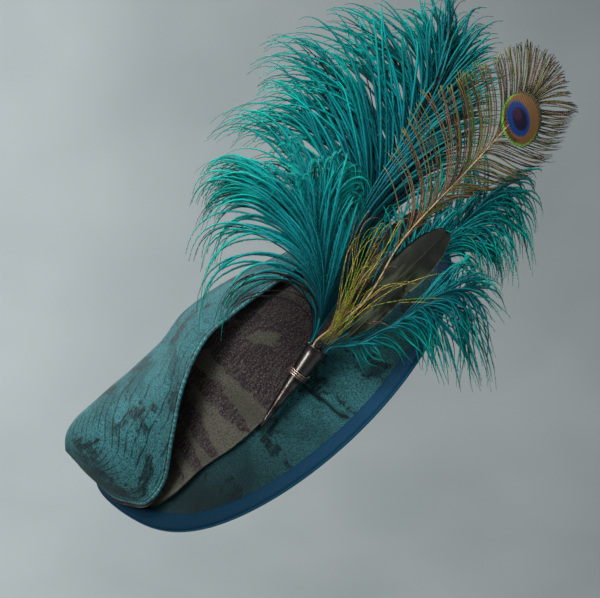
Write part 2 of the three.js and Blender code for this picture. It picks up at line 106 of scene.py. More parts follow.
# Direction from the hat to the viewer: flat strands turn their broad side there
TO_FRONT = np.array([0.05, -1.0, 0.17])

# Ostrich plumes: each quill's slot in the cone and its points
PLUMES = {
    "plume_crest": dict(slot=5, quill=[
        (34, -93, 3), (59, -75, 40), (86, -60, 81), (106, -50, 122), (119, -42, 164), (125, -38, 198)]),
    "plume_left": dict(slot=4, quill=[(15, -116, -12), (13, -121, 20), (15, -124, 52)]),
    "plume_right_high": dict(slot=8, quill=[
        (47, -112, -18), (83, -106, 10), (113, -96, 40), (144, -86, 73), (166, -76, 97)]),
    "plume_right_low": dict(slot=0, quill=[(46, -122, -31), (76, -124, -13), (101, -121, 1), (122, -115, 6)]),
}

PEACOCK_SLOT, HERL_SLOT = 3, 2
PEACOCK_QUILL = [
    (48, -130, 2), (75, -131, 47), (105, -125, 80), (127, -114, 101), (145, -109, 120), (163, -106, 140)]
HERL_QUILL = [(34, -132, -13), (52, -138, 12)]
COQUES = {
    "coque_dark": dict(
        slot=6, wide=24, line=[(37, -107, -10), (51, -108, 13), (72, -101, 41), (92, -97, 64)]),
    "coque_olive": dict(
        slot=7, wide=28, line=[(42, -114, -16), (61, -118, 5), (87, -117, 30), (110, -111, 52)]),
    "coque_near": dict(
        slot=1, wide=17, line=[(37, -124, -25), (51, -127, -11), (65, -127, 3), (77, -126, 12)]),
}


# Places and curves

def linear(hex_colour):
    """An sRGB hex colour as linear red, green, blue and a full alpha."""
    values = np.array([int(hex_colour[k:k + 2], 16) for k in (0, 2, 4)]) / 255
    light = np.where(values <= 0.04045, values / 12.92, ((values + 0.055) / 1.055) ** 2.4)
    return (*light.tolist(), 1.0)


def unit(vectors):
    """Vectors scaled to length one."""
    return vectors / np.maximum(np.linalg.norm(vectors, axis=-1, keepdims=True), 1e-9)


def smoothstep(x, low, high):
    """Rises from 0 at low to 1 at high, with a level start and end."""
    t = np.clip((x - low) / (high - low), 0, 1)
    return t * t * (3 - 2 * t)


def hat_rotation():
    """Turn about z by the yaw, after a turn about y by minus the lift, after one about x by the roll."""
    cy, sy, cl, sl, cr, sr = (f(a) for a in (YAW, LIFT, ROLL) for f in (np.cos, np.sin))
    about_z = np.array([[cy, -sy, 0], [sy, cy, 0], [0, 0, 1]])
    about_y = np.array([[cl, 0, -sl], [0, 1, 0], [sl, 0, cl]])
    about_x = np.array([[1, 0, 0], [0, cr, -sr], [0, sr, cr]])
    return about_z @ about_y @ about_x


HAT_TURN = hat_rotation()


def bump(degrees, centre, spread):
    """A bell of height 1 at centre: e to the minus square of the distance over the spread."""
    return np.exp(-(((degrees - centre) / spread) ** 2))


def side_width(across):
    """Half width of the saucer on the side where a place lies: front where across is negative, else back."""
    return np.where(across < 0, FRONT_WIDTH, BACK_WIDTH)


def rim_reach(angle):
    """How far the rim stands out, as a share of the oval: 1, and more in a bell round the nose."""
    return 1 + NOSE["reach"] * bump(np.degrees(angle) % 360, NOSE["angle"], NOSE["spread"])


def base_point(share, angle):
    """Point of the saucer in the hat's frame. In plan it is an oval scaled by the share; its height is three
    parts of (1 - share squared) to the power 1.5 and one part of half a cosine wave; the nose lifts as share
    cubed."""
    share, angle = np.broadcast_arrays(np.asarray(share, float), np.asarray(angle, float))
    reach = share * rim_reach(angle)
    bell = (1 + np.cos(np.pi * share)) / 2
    bowl = np.maximum(1 - share ** 2, 0) ** 1.5
    lift = NOSE["lift"] * bump(np.degrees(angle) % 360, NOSE["lift_angle"], NOSE["lift_spread"])
    height = CROWN * (bowl + (bell - bowl) * BELL_SHARE) + lift * share ** 3
    width = side_width(np.sin(angle))
    return np.stack([HALF_LENGTH * reach * np.cos(angle), width * reach * np.sin(angle), height], axis=-1)


def base_normal(share, angle):
    """Unit cross product of the saucer's outward and its round-going differences."""
    share, angle = np.broadcast_arrays(np.asarray(share, float), np.asarray(angle, float))
    near = np.clip(share, 0.02, 0.996)
    outward = base_point(near + 0.004, angle) - base_point(near - 0.004, angle)
    around = base_point(near, angle + 0.004) - base_point(near, angle - 0.004)
    normal = unit(np.cross(outward, around))
    return np.where(share[..., None] == 0, np.array([0.0, 0, 1]), normal)


def base_share(x, y):
    """Angle and share of the saucer above a place in plan."""
    across, along = y / side_width(y), x / HALF_LENGTH
    angle = np.arctan2(across, along)
    return angle, np.hypot(along, across) / rim_reach(angle)


def seat_shift():
    """Moves the inside of the saucer at the head seat to the origin."""
    angle, share = base_share(np.float64(HEAD_SEAT[0]), np.float64(HEAD_SEAT[1]))
    seat = base_point(share, angle) - BASE_WALL * base_normal(share, angle)
    return -(HAT_CENTRE + HAT_TURN @ seat)


SHIFT = seat_shift()


def worn(points):
    """Points of the hat's own frame, as the hat is worn."""
    return points @ HAT_TURN.T + HAT_CENTRE + SHIFT


def spline(points, count):
    """Smooth line through points, with tangents weighted by the root of the distance between neighbours.
    points are (..., n, 3); count samples are even in index."""
    points = np.asarray(points, float)
    first = 2 * points[..., :1, :] - points[..., 1:2, :]
    last = 2 * points[..., -1:, :] - points[..., -2:-1, :]
    all_points = np.concatenate([first, points, last], axis=-2)
    place = np.linspace(0, points.shape[-2] - 1, count)
    index = np.minimum(place.astype(int), points.shape[-2] - 2)
    t = (place - index)[:, None]
    p0, p1, p2, p3 = (all_points[..., index + k, :] for k in range(4))

    def gap(a, b):
        """Root of the distance, kept above nought."""
        return np.maximum(np.linalg.norm(a - b, axis=-1, keepdims=True) ** 0.5, 1e-4)

    d0, d1, d2 = gap(p0, p1), gap(p1, p2), gap(p2, p3)
    m1 = ((p1 - p0) / d0 - (p2 - p0) / (d0 + d1) + (p2 - p1) / d1) * d1
    m2 = ((p2 - p1) / d1 - (p3 - p1) / (d1 + d2) + (p3 - p2) / d2) * d1
    return p1 + m1 * t + (3 * (p2 - p1) - 2 * m1 - m2) * t ** 2 + (2 * (p1 - p2) + m1 + m2) * t ** 3


def even(line, count):
    """A line of points read again at even steps of its length."""
    steps = np.linalg.norm(np.diff(line, axis=0), axis=1)
    length = np.concatenate([[0], np.cumsum(steps)])
    want = np.linspace(0, length[-1], count)
    return np.stack([np.interp(want, length, line[:, k]) for k in range(3)], axis=-1)


def bezier(root, early, late, tip, count):
    """Cubic through four control points, each (..., 3), at count even shares."""
    t = np.linspace(0, 1, count)[:, None]
    a, b, c, d = (np.asarray(p, float)[..., None, :] for p in (root, early, late, tip))
    return a * (1 - t) ** 3 + 3 * b * t * (1 - t) ** 2 + 3 * c * t ** 2 * (1 - t) + d * t ** 3


def at_share(line, share):
    """Points of an evenly stepped line at shares of its length."""
    place = np.asarray(share) * (len(line) - 1)
    index = np.clip(place.astype(int), 0, len(line) - 2)
    t = (place - index)[..., None]
    return line[index] * (1 - t) + line[index + 1] * t


# Meshes

def make_piece(name, points, faces, replaces, layers=None, cloth=None):
    """Mesh object that rides on the hat and stands for CAD nodes. faces have 3 or 4 corners each; layers are
    numbers kept at the points; cloth gives each point's place on the flat cloth in millimetres, kept as a UV
    map in metres."""
    faces = np.asarray(faces, np.int32)
    sides = faces.shape[1]
    mesh = bpy.data.meshes.new(name)
    mesh.vertices.add(len(points))
    mesh.vertices.foreach_set("co", (np.asarray(points) * MM).astype(np.float32).ravel())
    mesh.loops.add(faces.size)
    mesh.loops.foreach_set("vertex_index", faces.ravel())
    mesh.polygons.add(len(faces))
    mesh.polygons.foreach_set("loop_start", np.arange(0, faces.size, sides, dtype=np.int32))
    mesh.update(calc_edges=True)
    for layer, values in (layers or {}).items():
        mesh.attributes.new(layer, "FLOAT", "POINT").data.foreach_set("value", np.asarray(values, np.float32))
    if cloth is not None:
        uv = mesh.uv_layers.new(name="cloth")
        uv.data.foreach_set("uv", (np.asarray(cloth, np.float32)[faces.ravel()] * MM).ravel())
    mesh.shade_smooth()
    piece = bpy.data.objects.new(name, mesh)
    bpy.context.scene.collection.objects.link(piece)
    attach(piece, BODY)
    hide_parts(*replaces)
    return piece


def sheet_faces(rows, columns, ring=False, start=0):
    """Four-cornered faces of a grid of points that is stored row by row."""
    i, j = np.meshgrid(np.arange(rows - 1), np.arange(columns if ring else columns - 1), indexing="ij")
    k = (j + 1) % columns
    a, b, c, d = i * columns + j, (i + 1) * columns + j, (i + 1) * columns + k, i * columns + k
    return start + np.stack([a, b, c, d], axis=-1).reshape(-1, 4)


def turned_out(points, faces):
    """The faces, turned round if the volume that they close comes out negative."""
    p = points[faces]
    volume = np.einsum("ij,ij->i", p[:, 0], np.cross(p[:, 1], p[:, 2])).sum()
    if faces.shape[1] == 4:
        volume += np.einsum("ij,ij->i", p[:, 0], np.cross(p[:, 2], p[:, 3])).sum()
    return faces[:, ::-1] if volume < 0 else faces


def walled(front, back):
    """Closed wall between two grids of points with open edges: both faces and the four borders."""
    rows, columns = front.shape[:2]
    size = rows * columns
    index = np.arange(size).reshape(rows, columns)
    border = np.concatenate([index[0, :], index[1:, -1], index[-1, -2::-1], index[-2:0:-1, 0]])
    after = np.roll(border, -1)
    rim = np.stack([border, after, after + size, border + size], axis=-1)
    faces = np.concatenate([
        sheet_faces(rows, columns), sheet_faces(rows, columns, start=size)[:, ::-1], rim[:, ::-1]])
    points = np.concatenate([front.reshape(-1, 3), back.reshape(-1, 3)])
    return points, turned_out(points, faces)


def strand_axes(lines, roll):
    """Unit vectors along each line, and across it: flat towards the front of the hat, then rolled."""
    along = unit(np.gradient(lines, axis=1))
    side = unit(np.cross(along, TO_FRONT))
    face = np.cross(side, along)
    c, s = np.cos(roll)[:, None, None], np.sin(roll)[:, None, None]
    return along, side * c + face * s, face * c - side * s


def swept(lines, radii, sides, squash=1.0, roll=None):
    """Tubes along lines (b, k, 3). Each section is a ring of sides corners at its radius, in the plane of two
    normals to the line, flattened by squash and turned by roll; the ends are closed by a point. Returns
    points (b * (k * sides + 2), 3) and triangles."""
    count, steps = lines.shape[:2]
    _, side, face = strand_axes(lines, np.zeros(count) if roll is None else roll)
    turn = np.arange(sides) * 2 * np.pi / sides
    wide = np.broadcast_to(radii, (count, steps))[..., None, None]
    ring = lines[:, :, None] + wide * np.cos(turn)[:, None] * side[:, :, None] \
        + wide * squash * np.sin(turn)[:, None] * face[:, :, None]
    points = np.concatenate([ring.reshape(count, -1, 3), lines[:, :1], lines[:, -1:]], axis=1)
    quads = sheet_faces(steps, sides, ring=True)
    body = np.concatenate([quads[:, [0, 1, 2]], quads[:, [0, 2, 3]]])
    k = np.arange(sides)
    low, high = steps * sides, steps * sides + 1
    last = (steps - 1) * sides
    root_cap = np.stack([k, (k + 1) % sides, np.full(sides, low)], axis=-1)
    tip_cap = np.stack([last + (k + 1) % sides, last + k, np.full(sides, high)], axis=-1)
    one = turned_out(points[0], np.concatenate([body, root_cap, tip_cap]))
    faces = (one[None] + (np.arange(count) * (steps * sides + 2))[:, None, None]).reshape(-1, 3)
    return points.reshape(-1, 3), faces


def tube_layer(values, sides):
    """A number for each step of each line, spread over the points that swept makes."""
    ring = np.repeat(values, sides, axis=1)
    return np.concatenate([ring, values[:, :1], values[:, -1:]], axis=1).ravel()


# Colours, and what a maker would change

# sRGB. A cloth has its colour, the shade in its creases, and flecks or an edge that catches the light
HEX = {
    "teal": "45888d", "teal_shade": "17393e", "teal_figure": "143236", "teal_figure_shade": "07171a",
    "teal_fleck": "356b70", "lining_ground": "646257", "lining_ground_shade": "3b3a33",
    "lining_figure": "3b3034", "lining_figure_shade": "191214", "lining_fleck": "8d7e84",
    "ribbon": "174560", "ribbon_shade": "123650", "ribbon_light": "2a7391", "ribbon_dark": "092536",
    "cord": "2b8389", "cord_shade": "15494f", "cord_light": "62b4b5",
    # gunmetal_shade is warm brown: dulled metal, and a painted reflection of the brown lining on the cone.
    "gunmetal": "736d6a", "gunmetal_shade": "3d3432", "wire": "c2b0a2", "wire_shade": "86756a",
    "ostrich_root": "034f5c", "ostrich_mid": "009398", "ostrich_tip": "05c2b0", "burnt": "1a1013",
    "bronze": "5c452a", "bronze_dark": "29250f", "bronze_green": "5d6a2a", "bronze_pink": "7c5a48",
    "barb_tip": "9c9430", "barb_dark": "241d14", "shaft": "b79b72",
    "herl_green": "86b028", "herl_gold": "c9b647", "herl_pink": "ab8064", "herl_dark": "29260f",
    "coque": "171d12", "coque_light": "4a5340", "coque_edge": "0e120b",
    "eye_pupil": "0b0724", "eye_lobe": "33122e", "eye_blue": "02316e", "eye_bronze": "6b4c2e",
    "eye_green": "6fb42a", "eye_olive": "45412a", "floor": "757c7d", "room": "c9d1d6",
}
TEAL_CLOTH = ("teal", "teal_shade", "teal_figure", "teal_figure_shade", "teal_fleck")
LINING_CLOTH = (
    "lining_ground", "lining_ground_shade", "lining_figure", "lining_figure_shade", "lining_fleck")


def colour_property(key, label):
    """A colour in the sidebar, with the plain one as its default."""
    return bpy.props.FloatVectorProperty(
        name=label, description=f"Colour of the {label.lower()}", subtype="COLOR", size=4, min=0, max=1,
        default=linear(HEX[key]))


class HatSizes(bpy.types.PropertyGroup):
    """Sizes that a maker would change."""

    ribbon_thickness: bpy.props.FloatProperty(
        name="Ribbon thickness", description="Thickness of the edge ribbon", default=0.0009, unit="LENGTH")
    wire_radius: bpy.props.FloatProperty(
        name="Collar wire", description="Radius of the wire wound round the cone", default=0.0008,
        unit="LENGTH")
    herl_strands: bpy.props.IntProperty(
        name="Herl strands", description="Strands in the gold-green bunch", default=42, min=4, max=80)


class HatColours(bpy.types.PropertyGroup):
    """Colours that a maker would change."""

    teal: colour_property("teal", "Brocade ground")
    teal_figure: colour_property("teal_figure", "Brocade figure")
    lining_ground: colour_property("lining_ground", "Lining ground")
    lining_figure: colour_property("lining_figure", "Lining figure")
    ribbon: colour_property("ribbon", "Edge ribbon")
    cord: colour_property("cord", "Lip cord")
    gunmetal: colour_property("gunmetal", "Cone metal")
    ostrich_mid: colour_property("ostrich_mid", "Ostrich dye")
    ostrich_tip: colour_property("ostrich_tip", "Ostrich tips")


def hues(context, *keys):
    """For each key the maker's colour where there is one, else the plain one."""
    chosen = [getattr(context.scene.hat_colours, key, None) for key in keys]
    return [linear(HEX[key]) if colour is None else tuple(colour) for key, colour in zip(keys, chosen)]


# Materials

def add(tree, kind, inputs=None, out=0, **settings):
    """Adds a node with its own settings. Each input is a value or a socket to link. Gives back one output."""
    made = tree.nodes.new("ShaderNode" + kind)
    for key, value in settings.items():
        setattr(made, key, value)
    for key, value in (inputs or {}).items():
        if isinstance(value, bpy.types.NodeSocket):
            tree.links.new(value, made.inputs[key])
        else:
            made.inputs[key].default_value = value
    return made.outputs[out] if made.outputs else made


# What many nodes share: a smooth rise, a mix of two colours, noise on flat cloth, bands across x, and a sum
SMOOTH = dict(interpolation_type="SMOOTHSTEP")
TINT = dict(out=2, data_type="RGBA")
FLAT = dict(noise_dimensions="2D")
BANDS = dict(out="Fac", bands_direction="X")
TIMES_PLUS = dict(operation="MULTIPLY_ADD")


def band_scale(pitch):
    """Scale of a wave texture whose bands lie pitch millimetres apart: its wave is a sine of 20 times it."""
    return np.pi / 10 / (pitch * MM)


def grain_scale(size):
    """Scale of a noise texture whose grains are about size millimetres wide, as a whole number."""
    return round(1 / (size * MM))


def bare_tree(name):
    """A new material and its empty node tree."""
    material = bpy.data.materials.new(name)
    material.use_nodes = True
    material.node_tree.nodes.clear()
    return material, material.node_tree


def fan_stems(tree, place, broad, fan):
    """Share of thin stems that spread from a place on the cloth, in metres: where a sine of the angle about
    it, shaken by noise, is near its top. The last number of fan is how many stand in one radian."""
    away = add(tree, "VectorMath", {0: place, 1: (*fan[:2], 0)}, operation="SUBTRACT")
    run = add(tree, "SeparateXYZ", {0: away}).node
    angle = add(tree, "Math", {0: run.outputs[1], 1: run.outputs[0]}, operation="ARCTAN2")
    far = add(tree, "VectorMath", {0: away}, "Value", operation="LENGTH")
    slow = add(tree, "TexNoise", {"Vector": place, "Scale": grain_scale(71), "Detail": 2}, **FLAT)
    bent = add(tree, "Math", {0: slow, 1: 0.34, 2: angle}, **TIMES_PLUS)
    turns = add(tree, "Math", {0: bent, 1: 2 * np.pi * fan[2]}, operation="MULTIPLY")
    waves = add(tree, "Math", {0: turns}, operation="SINE")
    # Stems keep their width, so the share of each wave that they take falls with the distance
    narrow = add(tree, "MapRange", {0: far, 1: 0.03, 2: 0.2, 3: 0.72, 4: 0.965})
    over = add(tree, "Math", {0: waves, 1: narrow}, operation="SUBTRACT")
    stems = add(tree, "MapRange", {0: over, 1: 0.0, 2: 0.05}, **SMOOTH)
    broken = add(tree, "MapRange", {0: broad, 1: 0.4, 2: 0.54, 3: 0.25, 4: 0.9}, **SMOOTH)
    return add(tree, "Math", {0: stems, 1: broken}, operation="MULTIPLY")


def figured_cloth(name, colours, flecks, fan=None):
    """Jacquard with a crinkled ground: matt, with a soft sheen, and a smoother figure. The figure's outline
    is the piece's own 'motif' distance in millimetres, shaken by the threads, the crinkle and a coarser
    noise, and streaks wear it through. Crinkle is about 2 mm, drawn twice its real size so that it shows.
    flecks is the share of light threads in the figure, and fan adds stems. Where the piece's own 'shade' is
    above 0 the cloth darkens: along the seam, a dark joint, and as painted shadow on the brim's low front."""
    ground, ground_shade, figure, figure_shade, fleck = colours
    material, tree = bare_tree(name)
    place = add(tree, "UVMap", uv_map="cloth")
    motif, shade = (add(tree, "Attribute", out="Fac", attribute_name=key) for key in ("motif", "shade"))
    stretched = []
    for turn, along, across, grain in (
        (0.35, 1.613, 0.769, {"Detail": 5, "Roughness": 0.7, "Distortion": 0.6}),
        (0.0, 0.5882, 1.923, {"Detail": 2}), (0.25, 11.1, 1.613, {"Detail": 3}),
    ):
        scale = (grain_scale(along), grain_scale(across), 1)
        laid = add(tree, "Mapping", {"Vector": place, "Rotation": (0, 0, turn), "Scale": scale})
        stretched.append(add(tree, "TexNoise", {"Vector": laid, "Scale": 1, **grain}, **FLAT))
    crinkle, threads, streaks = stretched
    broad, ragged = (add(tree, "TexNoise", {
        "Vector": place, "Scale": grain_scale(size), "Detail": 4, "Roughness": 0.6}, **FLAT)
        for size in (33.3, 10.5))
    shaken = motif
    for noise, reach in ((threads, 2.0), (crinkle, 3.0), (ragged, 14.0)):
        shaken = add(tree, "Math", {0: noise, 1: reach, 2: shaken}, **TIMES_PLUS)
    inside = add(tree, "MapRange", {0: shaken, 1: 8.9, 2: 10.3}, **SMOOTH)
    worn_through = add(tree, "MapRange", {0: streaks, 1: 0.36, 2: 0.54, 3: 0.45, 4: 1.0}, **SMOOTH)
    inside = add(tree, "Math", {0: inside, 1: worn_through}, operation="MULTIPLY")
    if fan:
        inside = add(tree, "Math", {0: inside, 1: fan_stems(tree, place, broad, fan)}, operation="MAXIMUM")
    light = add(tree, "MapRange", {0: crinkle, 1: 0.36, 2: 0.6}, **SMOOTH)
    cloudy = add(tree, "MapRange", {0: broad, 1: 0.42, 2: 0.66, 4: 0.5}, **SMOOTH)
    slubs = add(tree, "MapRange", {0: threads, 1: 1 - flecks, 2: 1.06 - flecks}, **SMOOTH)
    ground_mix = add(tree, "Mix", {0: light, 6: ground_shade, 7: ground}, **TINT)
    ground_mix = add(tree, "Mix", {0: cloudy, 6: ground_mix, 7: ground_shade}, **TINT)
    figure_mix = add(tree, "Mix", {0: light, 6: figure_shade, 7: figure}, **TINT)
    figure_mix = add(tree, "Mix", {0: slubs, 6: figure_mix, 7: fleck}, **TINT)
    colour = add(tree, "Mix", {0: inside, 6: ground_mix, 7: figure_mix}, **TINT)
    # Painted shadow, and the seam's dark joint, from the piece's 'shade'.
    colour = add(tree, "Mix", {0: shade, 6: colour, 7: figure_shade}, **TINT)
    gloss = add(tree, "MapRange", {0: inside, 3: 0.7, 4: 0.45})
    height = add(tree, "Math", {0: threads, 1: 0.35, 2: crinkle}, **TIMES_PLUS)
    height = add(tree, "Math", {0: inside, 1: 0.2, 2: height}, **TIMES_PLUS)
    raised = add(tree, "Bump", {"Height": height, "Strength": 0.8, "Distance": 0.0018})
    shader = add(tree, "BsdfPrincipled", {
        "Base Color": colour, "Roughness": gloss, "Normal": raised, "Specular IOR Level": 0.08,
        "Sheen Weight": 0.06, "Sheen Roughness": 0.45})
    add(tree, "OutputMaterial", {"Surface": shader})
    return material


def ribbed_ribbon(name, colours, pitch):
    """Grosgrain ribbon: matt, with weft ribs across it, one each pitch millimetres along it. They are drawn
    about twice as coarse as real ones so that they show. A painted highlight runs as a light line where it
    turns over the brim's edge, and the piece's 'shade' darkens it as painted shadow."""
    ribbon, shade, light, dark = colours
    material, tree = bare_tree(name)
    place = add(tree, "UVMap", uv_map="cloth")
    # Painted shadow: the piece's 'shade', darkest at the brim's low front.
    painted_shade = add(tree, "Attribute", out="Fac", attribute_name="shade")
    ribs = add(tree, "TexWave", {
        "Vector": place, "Scale": band_scale(pitch), "Distortion": 0.8, "Detail": 2}, **BANDS)
    wear = add(tree, "TexNoise", {
        "Vector": place, "Scale": grain_scale(22.2), "Detail": 5, "Roughness": 0.7}, **FLAT)
    patches = add(tree, "MapRange", {0: wear, 1: 0.42, 2: 0.7, 4: 0.5}, **SMOOTH)
    # Painted highlight: a thin light line along the fold where the ribbon turns over the brim's edge.
    across = add(tree, "SeparateXYZ", {0: place}, "Y")
    from_edge = add(tree, "Math", {0: across, 1: RIBBON_EDGE * MM}, operation="SUBTRACT")
    from_edge = add(tree, "Math", {0: from_edge}, operation="ABSOLUTE")
    fold = add(tree, "MapRange", {0: from_edge, 1: 0.0006, 2: 0.0022, 3: 0.75, 4: 0.0}, **SMOOTH)
    colour = add(tree, "Mix", {0: ribs, 6: shade, 7: ribbon}, **TINT)
    # Random wear patches, then painted shadow, then the painted highlight along the fold.
    for share, tint in ((patches, shade), (painted_shade, dark), (fold, light)):
        colour = add(tree, "Mix", {0: share, 6: colour, 7: tint}, **TINT)
    height = add(tree, "Math", {0: wear, 1: 1.2, 2: ribs}, **TIMES_PLUS)
    raised = add(tree, "Bump", {"Height": height, "Strength": 0.4, "Distance": 0.0005})
    shader = add(tree, "BsdfPrincipled", {
        "Base Color": colour, "Roughness": 0.62, "Normal": raised, "Specular IOR Level": 0.06})
    add(tree, "OutputMaterial", {"Surface": shader})
    return material


def sewn_cord(name, colours):
    """Bias-cut cloth drawn over a cord: threads that slant, 1.6 mm apart, and a sewn pinch every 4.5 mm. Both
    are drawn about twice as coarse as real ones so that they show."""
    cord, shade, light = colours
    material, tree = bare_tree(name)
    place = add(tree, "UVMap", uv_map="cloth")
    slant = add(tree, "Mapping", {"Vector": place, "Rotation": (0, 0, 0.7)})
    threads, pinch = (add(tree, "TexWave", {
        "Vector": laid, "Scale": band_scale(pitch), "Distortion": distortion, "Detail": 2}, **BANDS)
        for laid, pitch, distortion in ((slant, 1.6, 1.2), (place, 4.5, 2.5)))
    worn_patches = add(tree, "TexNoise", {"Vector": place, "Scale": grain_scale(16.7), "Detail": 4}, **FLAT)
    glint = add(tree, "MapRange", {0: pinch, 1: 0.6, 2: 1.0, 4: 0.4}, **SMOOTH)
    dark = add(tree, "MapRange", {0: worn_patches, 1: 0.45, 2: 0.65, 4: 0.7}, **SMOOTH)
    colour = add(tree, "Mix", {0: threads, 6: shade, 7: cord}, **TINT)
    for share, tint in ((glint, light), (dark, shade)):
        colour = add(tree, "Mix", {0: share, 6: colour, 7: tint}, **TINT)
    height = add(tree, "Math", {0: pinch, 1: 1.4, 2: threads}, **TIMES_PLUS)
    raised = add(tree, "Bump", {"Height": height, "Strength": 0.6, "Distance": 0.0005})
    shader = add(tree, "BsdfPrincipled", {
        "Base Color": colour, "Roughness": 0.55, "Normal": raised, "Specular IOR Level": 0.35,
        "Sheen Weight": 0.2})
    add(tree, "OutputMaterial", {"Surface": shader})
    return material


def drawn_metal(name, colours, roughness):
    """Plated sheet metal or wire, polished, with faint scratches and finger-dulled patches of about 8 mm. On
    the cone the patches' warm brown shade colour is also a painted reflection of the brown lining.
    """
    metal, shade = colours
    material, tree = bare_tree(name)
    place = add(tree, "TexCoord", out="Object")
    patches, scratch = (add(tree, "TexNoise", {"Vector": place, "Scale": grain_scale(size), "Detail": detail})
                        for size, detail in ((8.33, 4), (1.111, 3)))
    dulled = add(tree, "MapRange", {0: patches, 1: 0.4, 2: 0.7}, **SMOOTH)
    colour = add(tree, "Mix", {0: dulled, 6: metal, 7: shade}, **TINT)
    gloss = add(tree, "MapRange", {0: patches, 1: 0.3, 2: 0.75, 3: roughness * 0.8, 4: roughness * 1.5})
    raised = add(tree, "Bump", {"Height": scratch, "Strength": 0.1, "Distance": 0.0002})
    shader = add(tree, "BsdfPrincipled", {
        "Base Color": colour, "Metallic": 1.0, "Roughness": gloss, "Normal": raised})
    add(tree, "OutputMaterial", {"Surface": shader})
    return material


def dyed_feather(name, root, middle, tip, burnt):
    """Dyed ostrich: the dye is deepest near the quill and brightest at the tips, and uneven in patches of
    about 40 mm. Barbs whose tone is 0 are burnt."""
    material, tree = bare_tree(name)
    place = add(tree, "TexCoord", out="Object")
    along, tone, fringe = (add(tree, "Attribute", out="Fac", attribute_name=key)
                           for key in ("along", "tone", "fringe"))
    patches = add(tree, "TexNoise", {"Vector": place, "Scale": grain_scale(38.5), "Detail": 3})
    colour = root
    # What each dye follows, from where to where, its share at both ends, its kind of rise and its colour. A
    # low
    # tone darkens a barb to the root colour: at random, and as painted shade on the last rows of a plume.
    for source, low, high, first, last, rise, dye in (
        (along, 0.0, 0.5, 0.0, 1.0, SMOOTH, middle), (along, 0.4, 0.95, 0.0, 1.0, SMOOTH, tip),
        (tone, 0.0, 0.9, 0.75, 0.0, {}, root), (patches, 0.45, 0.65, 0.0, 0.4, SMOOTH, root),
        (fringe, 0.1, 1.0, 0.0, 0.4, {}, tip),
    ):
        share = add(tree, "MapRange", {0: source, 1: low, 2: high, 3: first, 4: last}, **rise)
        colour = add(tree, "Mix", {0: share, 6: colour, 7: dye}, **TINT)
    singed = add(tree, "Math", {0: tone, 1: 0.0005}, operation="LESS_THAN")
    colour = add(tree, "Mix", {0: singed, 6: colour, 7: burnt}, **TINT)
    shader = add(tree, "BsdfPrincipled", {"Base Color": colour, "Roughness": 0.5, "Specular IOR Level": 0.2})
    add(tree, "OutputMaterial", {"Surface": shader})
    return material


def eye_share(tree, moved, shake, ring):
    """Share of one oval of the peacock's eye: 1 inside it and 0 outside. The distance from its own centre,
    counted in its half widths along its two axes, passes a soft edge at 1, and noise shakes it."""
    centre, radii, tilt, _, soft = ring
    c, s = np.cos(np.radians(tilt)), np.sin(np.radians(tilt))
    shares = []
    for axis, radius in (((c, 0, s), radii[0]), ((-s, 0, c), radii[1])):
        run = add(tree, "VectorMath", {0: moved, 1: tuple(np.array(axis) / radius / MM)}, "Value",
                  operation="DOT_PRODUCT")
        off = (centre[0] * axis[0] + centre[1] * axis[2]) / radius
        shares.append(add(tree, "Math", {0: run, 1: float(off)}, operation="SUBTRACT"))
    oval = add(tree, "CombineXYZ", {0: shares[0], 1: shares[1]})
    length = add(tree, "VectorMath", {0: oval}, "Value", operation="LENGTH")
    length = add(tree, "Math", {0: shake, 1: 0.1, 2: length}, **TIMES_PLUS)
    return add(tree, "MapRange", {0: length, 1: 1.05 - soft, 2: 1.05 + soft, 3: 1.0, 4: 0.0}, **SMOOTH)


